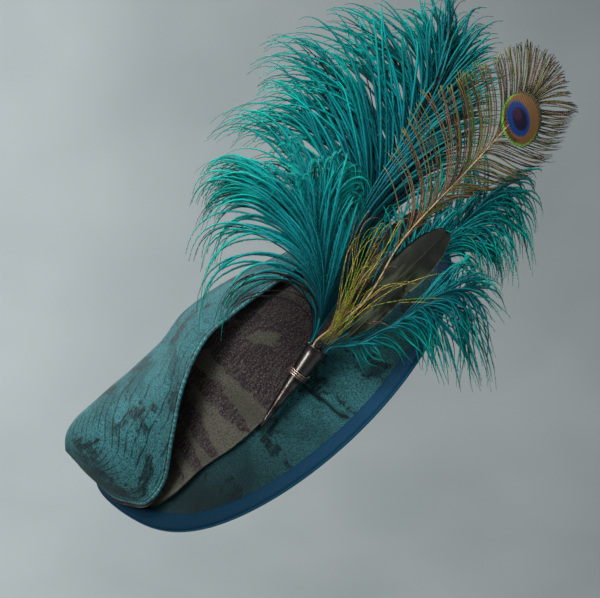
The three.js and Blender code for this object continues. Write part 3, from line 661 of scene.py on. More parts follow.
def peacock_vane(name, lined):
    """Peacock: bronze barbs that break into bands of metal sheen about 3 mm long, with yellow tips on one
    side and dark ones on the other. Round the eye's centre they turn olive, green, bronze, blue and dark in
    ovals. lined adds the barb lines that fan out from below the eye, about 0.8 mm apart, to a vane that is
    one sheet."""
    material, tree = bare_tree(name)
    place = add(tree, "TexCoord", out="Object")
    along, tone, side = (add(tree, "Attribute", out="Fac", attribute_name=key)
                         for key in ("along", "tone", "side"))
    moved = add(tree, "VectorMath", {0: place, 1: tuple((EYE_CENTRE + SHIFT) * MM)}, operation="SUBTRACT")
    bands, shake = (add(tree, "TexNoise", {"Vector": place, "Scale": grain_scale(size), "Detail": detail})
                    for size, detail in ((3.333, 3), (1.667, 2)))
    pick = add(tree, "Math", {0: bands, 1: 1.6, 2: tone}, **TIMES_PLUS)
    colour = linear(HEX["bronze_dark"])
    for low, high, key in ((0.8, 1.0, "bronze"), (1.1, 1.3, "bronze_pink"), (1.4, 1.6, "bronze_green")):
        share = add(tree, "MapRange", {0: pick, 1: low, 2: high}, **SMOOTH)
        colour = add(tree, "Mix", {0: share, 6: colour, 7: linear(HEX[key])}, **TINT)
    at_tip = add(tree, "MapRange", {0: along, 1: 0.78, 2: 0.95}, **SMOOTH)
    tip = add(tree, "Mix", {0: side, 6: linear(HEX["barb_tip"]), 7: linear(HEX["barb_dark"])}, **TINT)
    colour = add(tree, "Mix", {0: at_tip, 6: colour, 7: tip}, **TINT)
    for ring in EYE_RINGS:
        share = eye_share(tree, moved, shake, ring)
        colour = add(tree, "Mix", {0: share, 6: colour, 7: linear(HEX[ring[3]])}, **TINT)
    inputs = {"Roughness": 0.38, "Metallic": 0.25}
    if lined:
        split = add(tree, "SeparateXYZ", {0: moved}).node
        low, left = (add(tree, "Math", {0: split.outputs[axis], 1: off * MM}, operation="ADD")
                     for axis, off in zip((2, 0), EYE_ROOT))
        angle = add(tree, "Math", {0: left, 1: low}, operation="ARCTAN2")
        turns = add(tree, "Math", {0: angle, 1: EYE_BARBS}, operation="MULTIPLY")
        lines = add(tree, "Math", {0: turns}, operation="SINE")
        dark = add(tree, "MapRange", {0: lines, 1: 0.2, 2: 1.0, 4: 0.35}, **SMOOTH)
        colour = add(tree, "Mix", {0: dark, 6: colour, 7: linear(HEX["barb_dark"])}, **TINT)
        raised = add(tree, "Bump", {"Height": lines, "Strength": 0.3, "Distance": 0.0004})
        inputs = {"Roughness": 0.5, "Specular IOR Level": 0.15, "Normal": raised}
    shader = add(tree, "BsdfPrincipled", {"Base Color": colour, **inputs})
    add(tree, "OutputMaterial", {"Surface": shader})
    return material


def herl_strand(name):
    """Peacock herl: bead-like barbules of gold, green and pink bronze, each bead about 1.25 mm."""
    material, tree = bare_tree(name)
    tone = add(tree, "Attribute", out="Fac", attribute_name="tone")
    place = add(tree, "TexCoord", out="Object")
    beads, runs = (add(tree, "TexNoise", {"Vector": place, "Scale": grain_scale(size), "Detail": 2})
                   for size in (1.25, 11.1))
    pick = add(tree, "Math", {0: runs, 1: 1.3, 2: tone}, **TIMES_PLUS)
    colour = linear(HEX["herl_gold"])
    for low, high, key in ((0.8, 0.9, "herl_green"), (1.1, 1.2, "herl_gold"), (1.35, 1.45, "herl_pink")):
        share = add(tree, "MapRange", {0: pick, 1: low, 2: high}, **SMOOTH)
        colour = add(tree, "Mix", {0: share, 6: colour, 7: linear(HEX[key])}, **TINT)
    dark = add(tree, "MapRange", {0: beads, 1: 0.5, 2: 0.36, 4: 0.9}, **SMOOTH)
    colour = add(tree, "Mix", {0: dark, 6: colour, 7: linear(HEX["herl_dark"])}, **TINT)
    shader = add(tree, "BsdfPrincipled", {"Base Color": colour, "Roughness": 0.36, "Metallic": 0.3})
    add(tree, "OutputMaterial", {"Surface": shader})
    return material


def satin_vane(name, dark, light, edge):
    """Cock's tail vane: near black, with a pale sheen painted in a band along it. Barb lines slant back from
    the quill, 1.3 mm apart, about twice as coarse as real ones so that they show."""
    material, tree = bare_tree(name)
    place = add(tree, "UVMap", uv_map="cloth")
    along = add(tree, "Attribute", out="Fac", attribute_name="along")
    split = add(tree, "SeparateXYZ", {0: place}).node
    across = add(tree, "Math", {0: split.outputs[1]}, operation="ABSOLUTE")
    slanted = add(tree, "Math", {0: across, 1: -1.3, 2: split.outputs[0]}, **TIMES_PLUS)
    line = add(tree, "CombineXYZ", {0: slanted})
    lines = add(tree, "TexWave", {
        "Vector": line, "Scale": band_scale(1.3), "Distortion": 1.0, "Detail": 2}, **BANDS)
    stretched = add(tree, "Mapping", {"Vector": place, "Scale": (grain_scale(33.3), grain_scale(6.25), 1)})
    broad = add(tree, "TexNoise", {"Vector": stretched, "Scale": 1, "Detail": 3}, **FLAT)
    # Painted sheen: a pale band along the vane, rising from 0.08 and falling past 0.45 of its length, patchy.
    rising = add(tree, "MapRange", {0: along, 1: 0.08, 2: 0.4}, **SMOOTH)
    falling = add(tree, "MapRange", {0: along, 1: 0.45, 2: 0.72, 3: 1.0, 4: 0.0}, **SMOOTH)
    patchy = add(tree, "MapRange", {0: broad, 1: 0.35, 2: 0.62}, **SMOOTH)
    painted_sheen_band = add(tree, "Math", {0: rising, 1: falling}, operation="MULTIPLY")
    painted_sheen_band = add(tree, "Math", {0: painted_sheen_band, 1: patchy}, operation="MULTIPLY")
    grooves = add(tree, "MapRange", {0: lines, 1: 0.6, 2: 1.0, 4: 0.3}, **SMOOTH)
    blacker = add(tree, "MapRange", {0: along, 1: 0.6, 2: 0.85}, **SMOOTH)
    colour = dark
    for share, tint in ((painted_sheen_band, light), (grooves, edge), (blacker, edge)):
        colour = add(tree, "Mix", {0: share, 6: colour, 7: tint}, **TINT)
    raised = add(tree, "Bump", {"Height": lines, "Strength": 0.25, "Distance": 0.0003})
    shader = add(tree, "BsdfPrincipled", {
        "Base Color": colour, "Roughness": 0.36, "Normal": raised, "Specular IOR Level": 0.3})
    add(tree, "OutputMaterial", {"Surface": shader})
    return material


def bare_shaft(name, colour, shade):
    """Bare feather shaft: horn, half glossy, with darker flecks each few millimetres."""
    material, tree = bare_tree(name)
    place = add(tree, "TexCoord", out="Object")
    flecks = add(tree, "TexNoise", {"Vector": place, "Scale": grain_scale(3.85), "Detail": 3})
    share = add(tree, "MapRange", {0: flecks, 1: 0.5, 2: 0.68, 4: 0.8}, **SMOOTH)
    base = add(tree, "Mix", {0: share, 6: colour, 7: shade}, **TINT)
    shader = add(tree, "BsdfPrincipled", {"Base Color": base, "Roughness": 0.4})
    add(tree, "OutputMaterial", {"Surface": shader})
    return material


def paper_floor(name, colour):
    """Matt photographer's paper: plain, with a faint change of tone over a third of a metre."""
    material, tree = bare_tree(name)
    place = add(tree, "TexCoord", out="Object")
    grain = add(tree, "TexNoise", {"Vector": place, "Scale": grain_scale(333), "Detail": 2})
    share = add(tree, "MapRange", {0: grain, 1: 0.3, 2: 0.7, 4: 0.04})
    base = add(tree, "Mix", {0: share, 6: colour, 7: (1, 1, 1, 1)}, **TINT)
    shader = add(tree, "BsdfPrincipled", {"Base Color": base, "Roughness": 0.9, "Specular IOR Level": 0.1})
    add(tree, "OutputMaterial", {"Surface": shader})
    return material


# Woven figures

FAR_OUTSIDE = -9.0


def leaf_distance(x, y, leaves):
    """Millimetres inside leaf outlines, negative outside, down to FAR_OUTSIDE. A leaf is (x, y, heading,
    length, width); its half width falls as one minus the square of the share of its half length, and the
    largest value wins."""
    best = np.full(x.shape, FAR_OUTSIDE)
    for cx, cy, heading, length, width in leaves:
        c, s = np.cos(heading), np.sin(heading)
        p = ((x - cx) * c + (y - cy) * s) / (length / 2)
        q = np.abs(-(x - cx) * s + (y - cy) * c)
        best = np.maximum(best, (1 - p * p) * width / 2 - q)
    return best


def stem_distance(x, y, stems, width):
    """Millimetres inside thin curved stems. A stem is (x, y, heading, length, bend): a shallow parabola."""
    best = np.full(x.shape, FAR_OUTSIDE)
    for cx, cy, heading, length, bend in stems:
        c, s = np.cos(heading), np.sin(heading)
        p = (x - cx) * c + (y - cy) * s
        q = -(x - cx) * s + (y - cy) * c - bend * (p / length) ** 2
        beyond = np.maximum(np.maximum(-p, p - length), 0)
        best = np.maximum(best, width / 2 * np.clip(1.25 - p / length, 0.4, 1) - np.hypot(q, beyond))
    return best


def leaf_fan(x, y, heading, size, strokes, spread, draws):
    """A fan of leaf strokes from one point, the middle ones longest. A stroke's middle stands off that point
    by out times its length, and its width is slim times its length."""
    out, slim = 0.62, 0.17
    turns = np.linspace(-spread, spread, strokes) + draws.uniform(-0.08, 0.08, strokes)
    lengths = size * (1 - 0.35 * np.abs(turns) / spread) * draws.uniform(0.8, 1.1, strokes)
    return [(x + out * n * np.cos(heading + t), y + out * n * np.sin(heading + t), heading + t, n, slim * n)
            for t, n in zip(turns, lengths)]


def fans_over(x0, x1, y0, y1, pitch, size, strokes, draws, headings=(0, 2 * np.pi)):
    """Leaf fans on a shaken grid, each with its own heading, and a thin stem through each."""
    leaves, stems = [], []
    for i, cx in enumerate(np.arange(x0, x1, pitch)):
        for cy in np.arange(y0 + (i % 2) * pitch / 2, y1, pitch):
            jx, jy = draws.uniform(-0.2, 0.2, 2) * pitch
            heading, scale = draws.uniform(*headings), size * draws.uniform(0.75, 1.15)
            leaves += leaf_fan(cx + jx, cy + jy, heading, scale, strokes, 0.75, draws)
            stems.append((
                cx + jx - 0.7 * scale * np.cos(heading), cy + jy - 0.7 * scale * np.sin(heading), heading,
                0.9 * scale, 0.15 * scale * draws.uniform(-1, 1)))
    return leaves, stems


# Cloth pieces

# Seam of the base's brocade, from end to end in the hat's plan, and half the width of its valley
SEAM_FROM, SEAM_TO, SEAM_WIDTH = np.array([7.5, -82.3]), np.array([15.4, -113.5]), 1.4


def weld_poles(piece):
    """Points that fall on one place, as in a grid's pole, become one, and flat faces go."""
    work = bmesh.new()
    work.from_mesh(piece.data)
    bmesh.ops.remove_doubles(work, verts=work.verts, dist=2e-6)
    work.to_mesh(piece.data)
    work.free()


def seam_depth(flat):
    """A bell across the seam's line, 1 on it: e to the minus square of the distance over the seam's width."""
    run = unit(SEAM_TO - SEAM_FROM)
    past = (flat - SEAM_FROM) @ run
    off = np.abs((flat - SEAM_FROM) @ np.array([-run[1], run[0]]))
    beyond = np.maximum(np.maximum(-past, past - np.linalg.norm(SEAM_TO - SEAM_FROM)), 0)
    return np.exp(-((np.hypot(off, beyond) / SEAM_WIDTH) ** 2))


def build_base(context):
    """Saucer: outer and inner grids by share and angle, joined at the rim. Slow sines ripple it, and the seam
    is a narrow valley."""
    draws = np.random.default_rng(SEED)
    columns = 340
    angles = np.arange(columns) * 2 * np.pi / columns
    outer_shares = np.concatenate([[0.0], np.linspace(0.015, 1, 67)])
    inner_shares = np.concatenate([[0.0], np.linspace(0.08, 1, 12)])
    outer = base_point(outer_shares[:, None], angles[None])
    normal = base_normal(outer_shares[:, None], angles[None])
    flat = outer[..., :2]
    seam = seam_depth(flat)
    ripple = 0.25 * np.sin(flat[..., 0] / 17 + 1.3 * np.sin(flat[..., 1] / 23))
    ripple = ripple * smoothstep(outer_shares, 0.1, 0.3)[:, None]
    outer = outer + normal * (ripple * smoothstep(1 - outer_shares, 0.06, 0.2)[:, None] - seam)[..., None]
    inner = base_point(inner_shares[:, None], angles[None]) \
        - BASE_WALL * base_normal(inner_shares[:, None], angles[None])
    rows, inner_rows = len(outer_shares), len(inner_shares)
    start = rows * columns
    k = np.arange(columns)
    after = (k + 1) % columns
    outer_rim, inner_rim = (rows - 1) * columns, start + (inner_rows - 1) * columns
    rim = np.stack([outer_rim + k, outer_rim + after, inner_rim + after, inner_rim + k], axis=-1)
    faces = np.concatenate([sheet_faces(rows, columns, ring=True),
                            sheet_faces(inner_rows, columns, ring=True, start=start)[:, ::-1], rim[:, ::-1]])
    points = np.concatenate([outer.reshape(-1, 3), inner.reshape(-1, 3)])
    leaves, stems = fans_over(-190, 190, -150, 150, pitch=50, size=34, strokes=6, draws=draws)
    motif = np.maximum(leaf_distance(points[:, 0], points[:, 1], leaves),
                       stem_distance(points[:, 0], points[:, 1], stems, 1.6))
    # Painted shadow: the brim's cloth darkens towards its low front, where the leaf above would shade it. The
    # seam's dark joint goes into the same 'shade'.
    painted_brim_shadow = bump(np.degrees(angles), 222, 55)[None] * smoothstep(outer_shares, 0.3, 0.92)[:, None]
    shade = np.maximum(0.95 * painted_brim_shadow, np.minimum(2.2 * seam, 1))
    shade = np.concatenate([shade.ravel(), np.zeros(inner_rows * columns)])
    cloth_over_plan = 1.08
    cloth = points[:, :2] * cloth_over_plan
    faces = turned_out(points, faces)
    piece = make_piece("base_cover", worn(points), faces, ["saucer_base"],
                       {"motif": motif, "shade": shade}, cloth)
    weld_poles(piece)
    piece.data.materials.append(figured_cloth("Crinkled jacquard, teal", hues(context, *TEAL_CLOTH), 0.34))


def build_binding(context):
    """Ribbon round the brim's edge: a section of a top flap, half a turn round the edge and an under flap,
    swept by the rim's angle."""
    thick = context.scene.hat_sizes.ribbon_thickness / MM
    count = 480
    angles = np.arange(count) * 2 * np.pi / count
    shares = np.linspace(RIBBON_FROM, 1, 4)
    rim_normal = base_normal(np.float64(1), angles)
    flat = unit(base_point(1, angles) - base_point(RIBBON_FROM, angles))
    centre = base_point(1, angles) - rim_normal * BASE_WALL / 2
    turn = np.linspace(0, np.pi, 8)[1:-1]

    def course(distance):
        """Rows of points that far off the brim: over its top, round its edge and back under it."""
        top = [base_point(s, angles) + base_normal(s, angles) * distance for s in shares]
        radius = BASE_WALL / 2 + distance
        edge = [centre + radius * (np.cos(t) * rim_normal + np.sin(t) * flat) for t in turn]
        below = distance + BASE_WALL
        under = [base_point(s, angles) - base_normal(s, angles) * below for s in shares[::-1]]
        return np.stack(top + edge + under)

    inner, outer = course(RIBBON_GAP), course(RIBBON_GAP + thick)
    rows = len(inner)
    points = np.concatenate([outer, inner[::-1]]).reshape(-1, 3)
    k = np.arange(count)
    last = (2 * rows - 1) * count
    close = np.stack([last + k, k, (k + 1) % count, last + (k + 1) % count], axis=-1)
    faces = turned_out(points, np.concatenate([sheet_faces(2 * rows, count, ring=True), close]))
    rim_steps = np.linalg.norm(np.diff(base_point(1, np.append(angles, 2 * np.pi)), axis=0), axis=1)
    around = np.concatenate([[0], np.cumsum(rim_steps)[:-1]])
    across = np.concatenate([np.arange(rows), np.arange(rows)[::-1]]) * RIBBON_STEP
    cloth = np.stack(np.broadcast_arrays(around[None], across[:, None]), axis=-1).reshape(-1, 2)
    # Painted shadow: the ribbon darkens towards the brim's low front, round 215 degrees, and a little all
    # round.
    dark = 0.15 + 0.75 * bump(np.degrees(angles), 215, 55)
    piece = make_piece("edge_ribbon", worn(points), faces, ["edge_binding"],
                       {"shade": np.tile(dark, 2 * rows)}, cloth)
    colours = hues(context, "ribbon", "ribbon_shade", "ribbon_light", "ribbon_dark")
    piece.data.materials.append(ribbed_ribbon("Grosgrain ribbon, dark blue", colours, 1.5))


def leaf_surface(stations, columns):
    """Middle surface of the leaf, in the hat's frame. Each section is a smooth line that lies on the saucer
    from crease to back, then turns over the fold to the lip; sections are joined by smooth rails along the
    hat."""
    x, crease, back_y = LEAF_SECTIONS[:, 0], LEAF_SECTIONS[:, 1], LEAF_SECTIONS[:, 2]
    share = np.linspace(0, SEAT["reach"], SEAT["points"])
    y = crease[:, None] + (back_y - crease)[:, None] * share
    xs = np.broadcast_to(x[:, None], y.shape)
    angle, place = base_share(xs, y)
    rise = SEAT["over_ribbon"] * smoothstep(place, SEAT["start"], SEAT["end"])
    z = base_point(np.minimum(place, 1), angle)[..., 2] + SEAT["base"] + rise
    seats = np.stack([xs, y, z], axis=-1)
    turns = LEAF_SECTIONS[:, 2:].reshape(-1, 4, 2)
    turns = np.concatenate([np.broadcast_to(x[:, None, None], (len(x), 4, 1)), turns], axis=-1)
    controls = np.concatenate([seats, turns], axis=1)
    rails = spline(controls.transpose(1, 0, 2), stations).transpose(1, 0, 2)
    dense = spline(rails, 600)
    return np.stack([even(section, columns) for section in dense])


def grid_normals(grid):
    """Unit cross product of the grid's differences along and across."""
    along = np.gradient(grid, axis=0)
    across = np.gradient(grid, axis=1)
    return unit(np.cross(along, across))


def lengths_along(grid, axis):
    """Running length along one axis of a grid, averaged over the other."""
    steps = np.linalg.norm(np.diff(grid, axis=axis), axis=-1)
    return np.concatenate([[0], np.cumsum(steps.mean(axis=1 - axis))])


def rounded(distance, reach):
    """Rises from 0 to 1 along a quarter circle within the reach."""
    t = 1 - np.clip(distance / reach, 0, 1)
    return np.sqrt(np.maximum(1 - t * t, 0))


def leaf_folds(grid, u, v):
    """Soft cloth folds as a normal shift in millimetres: long low sines that fan out from the nose, and short
    ones along the leaf. They die out towards its long edges."""
    uu, vv = np.meshgrid(u, v, indexing="ij")
    fan = 0.55 * np.sin(vv / 15 + uu / 60) * smoothstep(uu, 5, 60) * smoothstep(u[-1] - uu, 0, 80)
    fine = 0.2 * np.sin(uu / 7.3 + 1.7 * np.sin(vv / 11))
    edge = np.minimum(smoothstep(vv, 0, 20), smoothstep(v[-1] - vv, 0, 14))
    return (fan + fine) * edge


def nose_strip(middle, normals, uu, vv):
    """The leaf's middle surface with a strip added past the lip at the nose, where the lining shows below the
    shell. The last stretch across, reach long, is drawn out by beyond: straight on under the cord as far as
    turn_at, then outward over the brim, and it is set under the shell by under at the most."""
    reach, beyond, turn_at, under = 18.0, 10.0, 4.2, 2.4
    weight = smoothstep(uu, 0, 22) * (1 - smoothstep(uu, 34, 88))
    edge = vv[:, -1:]
    into = np.clip(1 - (edge - vv) / reach, 0, None)
    want = vv + beyond * weight * into
    within = np.minimum(want, edge)
    held = np.stack([
        np.stack([np.interp(within[i], vv[i], middle[i, :, k]) for k in range(3)], axis=-1)
        for i in range(len(vv))])
    past = np.maximum(want - edge, 0)[..., None]
    on = unit(middle[:, -1:] - middle[:, -2:-1])
    outward = middle[:, -1:] * np.array([1 / HALF_LENGTH ** 2, 1 / FRONT_WIDTH ** 2, 0])
    straight = np.minimum(past, turn_at)
    lowered = normals * (under * weight * into ** 0.5)[..., None]
    return held + on * straight + unit(outward) * (past - straight) + lowered


# Woven leaves along the shell's lip, brown lobes of the lining, and bare places among these: place along and
# across the cloth, heading, length, width. FAR_END is where the lining turns brown for the rest of its length
LIP_LEAVES = [(16, 178, 0.9, 34, 9), (24, 200, 0.35, 40, 9), (44, 206, 0.1, 44, 8), (70, 203, -0.1, 36, 9)]
LINING_LEAVES = [
    (163, 34, -1.5, 74, 17), (147, 66, -2.0, 60, 21), (133, 28, -1.85, 66, 17), (113, 22, -1.85, 58, 15),
    (96, 26, -1.8, 56, 13), (77, 30, -1.9, 50, 11), (56, 30, -2.0, 50, 10), (30, 40, -2.2, 50, 10),
    (8, 206, 0.2, 70, 28), (150, 112, -1.2, 60, 24),
]
LINING_GAPS = [
    (176, 50, -1.47, 98, 15), (224, 38, -0.6, 28, 14), (214, 66, -1.0, 18, 7), (206, 104, -2.2, 30, 10),
    (262, 60, -1.0, 24, 9),
]
FAR_END, FAR_END_RISE, FAR_END_BASE = (182, 196), 9, -4

# The shell's fan of stems: its place along and across the cloth in metres, and stems in a radian
STEM_FAN = (-0.012, 0.186, 14.0)


def build_lip_cord(context, lip):
    """Round cord along a line off the leaf's lip. A sine swells it between its sewn pinches, 45 times."""
    steps, sides, swellings, girth_step = 520, 12, 45, 0.8
    line = even(lip, steps)
    swell = 1 + 0.06 * np.sin(np.linspace(0, 2 * swellings * np.pi, steps))
    points, faces = swept(line[None], PIPING_RADIUS * swell[None], sides)
    length = np.linspace(0, np.linalg.norm(np.diff(line, axis=0), axis=1).sum(), steps)
    turn = np.tile(np.arange(sides) * girth_step, steps)
    flat = np.stack([np.append(np.repeat(length, sides), [0, length[-1]]), np.append(turn, [0, 0])], axis=-1)
    piece = make_piece("lip_cord", worn(points), faces, ["lip_piping"], None, flat)
    colours = hues(context, "cord", "cord_shade", "cord_light")
    piece.data.materials.append(sewn_cord("Bias-covered cord, light teal", colours))


def build_leaf(context):
    """The leaf's two cloths, walls to each side of its middle surface, and the cord along their lip."""
    draws = np.random.default_rng(SEED + 1)
    stations, columns, edge_round = 165, 106, 1.6
    grid = leaf_surface(stations, columns)
    normals = grid_normals(grid)
    u, v = lengths_along(grid, 0), lengths_along(grid, 1)
    shift = leaf_folds(grid, u, v)[..., None]
    middle = grid + normals * shift
    uu, vv = np.meshgrid(u, v, indexing="ij")
    to_edge = np.minimum(np.minimum(uu, u[-1] - uu), np.minimum(vv, v[-1] - vv))
    soft = (0.25 + 0.75 * rounded(to_edge, edge_round))[..., None]
    cloth = np.concatenate([np.stack([uu, vv], axis=-1).reshape(-1, 2)] * 2)

    def cloth_wall(name, node, laid, near, far, motif, material):
        """A wall between two distances off the surface it is laid on, thinner towards its rounded edges."""
        centre = (near + far) / 2
        front = laid + normals * (centre + (near - centre) * soft)
        back = laid + normals * (centre + (far - centre) * soft)
        points, faces = walled(front, back)
        layers = {"motif": np.tile(motif.ravel(), 2)}
        piece = make_piece(name, worn(points), faces, [node], layers, cloth)
        piece.data.materials.append(material)
        return piece

    leaves, twigs = fans_over(
        30, 340, 10, 225, pitch=48, size=32, strokes=6, draws=draws, headings=(-0.9, 0.9))
    motif = np.maximum(leaf_distance(uu, vv, leaves + LIP_LEAVES), stem_distance(uu, vv, twigs, 2.0))
    shell = cloth_wall(
        "wrap_cloth", "wrap_shell", middle, SHELL_OUTER, SHELL_INNER, motif,
        figured_cloth("Crinkled jacquard, teal wrap", hues(context, *TEAL_CLOTH), 0.34, STEM_FAN))
    far_end = FAR_END_RISE * smoothstep(uu + 0.12 * vv, *FAR_END) + FAR_END_BASE
    motif = np.maximum(leaf_distance(uu, vv, LINING_LEAVES), far_end)
    motif = np.minimum(motif, 1.0 - leaf_distance(uu, vv, LINING_GAPS))
    lining = cloth_wall(
        "wrap_lining_cloth", "wrap_lining", nose_strip(middle, normals, uu, vv), LINING_OUTER,
        LINING_INNER, motif,
        figured_cloth("Satin jacquard, brown on olive grey", hues(context, *LINING_CLOTH), 0.36))

    lip = middle[:, -1] + unit(middle[:, -1] - middle[:, -2]) * (PIPING_RADIUS + PIPING_GAP)
    build_lip_cord(context, lip)


# Cone and collar

def cone_frame():
    """Tip, unit axis, and the two directions across it: to the low right and to the front."""
    tip = worn(CONE_TIP)
    axis = unit(worn(CONE_MOUTH) - tip)
    right = np.array([0.8, 0, -0.6])
    right = unit(right - (right @ axis) * axis)
    front = np.cross(axis, right)
    front = -front if front @ np.array([0, -1, 0]) < 0 else front
    return tip, axis, right, front


def cone_radius(height):
    """Outer radius of the cone's straight taper at a height above its tip."""
    return CONE_TIP_RADIUS + (CONE_MOUTH_RADIUS - CONE_TIP_RADIUS) * height / CONE_LENGTH


def turned(profile, sides):
    """A profile of (radius, height) carried round the cone's axis."""
    tip, axis, right, front = cone_frame()
    turn = np.arange(sides) * 2 * np.pi / sides
    around = np.cos(turn)[:, None] * right + np.sin(turn)[:, None] * front
    return tip + profile[:, 1, None, None] * axis + profile[:, 0, None, None] * around


def build_cone(context):
    """Spun cone: a straight taper with a blunt tip and a rolled mouth, hollow from 10 mm above its tip. Wire
    collar: two strands wound round it as a helix of constant pitch, twisted about each other along it."""
    hollow_from, roll_radius, sides = 10.0, 0.6, 96
    turn = np.linspace(-0.6, 2.8, 9)
    lip = np.stack([CONE_MOUTH_RADIUS - 0.45 + roll_radius * np.cos(turn),
                    CONE_LENGTH - roll_radius + roll_radius * np.sin(turn)], axis=-1)
    outside = np.linspace(1.5, CONE_LENGTH - 1.2, 14)
    inside = np.linspace(CONE_LENGTH - 1.0, hollow_from + 1, 8)
    profile = np.concatenate([
        [(0.0, 0.0), (0.55, 0.2), (0.95, 0.7)], np.stack([cone_radius(outside), outside], axis=-1), lip,
        np.stack([np.maximum(cone_radius(inside) - CONE_WALL, 0.3), inside], axis=-1), [(0.0, hollow_from)]])
    points = turned(profile, sides).reshape(-1, 3)
    faces = turned_out(points, sheet_faces(len(profile), sides, ring=True))
    piece = make_piece("cone_metal", points, faces, ["feather_cone"])
    weld_poles(piece)
    # The dulled patches' warm brown shade also paints a reflection of the brown lining on the cone.
    colours = hues(context, "gunmetal", "gunmetal_shade")
    piece.data.materials.append(drawn_metal("Gunmetal plate", colours, 0.24))

    tip, axis, right, front = cone_frame()
    wire = context.scene.hat_sizes.wire_radius / MM
    turns, twists_a_turn, steps, end_room = 3.1, 7, 400, 0.6
    # Shares of the wire's radius: a strand's own radius, its run off the helix, and the helix off the cone
    strand, off_helix, off_cone = 0.5, 0.28, 0.8
    share = np.linspace(0, 1, steps)
    height = COLLAR_AT + end_room + (COLLAR_LENGTH - 2 * end_room) * share
    angle = 2 * np.pi * turns * share
    twist = angle * twists_a_turn
    lines = []
    for start in (0, np.pi):
        radius = cone_radius(height) + COLLAR_GAP + off_cone * wire \
            + off_helix * wire * (1 + np.cos(twist + start))
        lines.append(tip + (height + off_helix * wire * np.sin(twist + start))[:, None] * axis
                     + radius[:, None] * (np.cos(angle)[:, None] * right + np.sin(angle)[:, None] * front))
    points, faces = swept(np.stack(lines), strand * wire, 6)
    piece = make_piece("collar_wire", points, faces, ["cone_collar"])
    piece.data.materials.append(drawn_metal("Wound wire", hues(context, "wire", "wire_shade"), 0.32))


# Feathers

def quill_line(slot, points, radius, count=200):
    """Quill from its slot in the cone out through its points. Slots stand in a ring inside the mouth."""
    tip, axis, right, front = cone_frame()
    angle = np.radians(FIRST_SLOT + 360 * slot / SLOTS)

    def place(depth):
        """Point in the slot at a depth below the mouth."""
        height = CONE_LENGTH - depth
        clear = (cone_radius(height) - CONE_WALL) * np.cos(np.pi / CONE_SIDES) - radius - SLOT_CLEAR
        return tip + height * axis + clear * (np.cos(angle) * right + np.sin(angle) * front)

    start = [place(SLOT_DEPTH), place(0), place(-SLOT_LEAD)]
    return even(spline(np.concatenate([start, np.asarray(points, float) + SHIFT]), 400), count)


def barb_lines(quill, roots, tips, bend, steps, draws, wave, rise=0.0):
    """Barb centre lines as cubics. bend gives three numbers for each barb: it leaves along the quill, turned
    up by rise, for lean of its reach; it comes in over its tip from over of its level reach back towards the
    root, and from arch of its whole reach above. Slow sines of random phase then sway it sideways and towards
    the viewer, by nothing at its root and up to some wave millimetres at its tip."""
    root = at_share(quill, roots)
    ahead, behind = np.minimum(roots + 0.02, 1), np.maximum(roots - 0.02, 0)
    heading = unit(at_share(quill, ahead) - at_share(quill, behind))
    heading = unit(heading + np.array([0, 0, rise]))
    reach = np.linalg.norm(tips - root, axis=-1, keepdims=True)
    level = (root - tips) * np.array([1.0, 1, 0])
    lean, over, arch = bend[:, :1], bend[:, 1:2], bend[:, 2:3]
    early = root + heading * reach * lean
    late = tips + level * over + np.array([0, 0, 1.0]) * arch * reach
    lines = bezier(root, early, late, tips, steps)
    share = np.linspace(0, 1, steps)[None, :, None]
    phase = draws.uniform(0, 2 * np.pi, (len(roots), 2, 1))
    turns = draws.uniform(0.7, 1.6, (len(roots), 2, 1))
    sway = np.sin(2 * np.pi * turns * share[..., 0] + phase) - np.sin(phase)
    side = unit(np.cross(tips - root, TO_FRONT))
    return lines + wave * share * (sway[:, 0, :, None] * side[:, None] + sway[:, 1, :, None] * TO_FRONT)


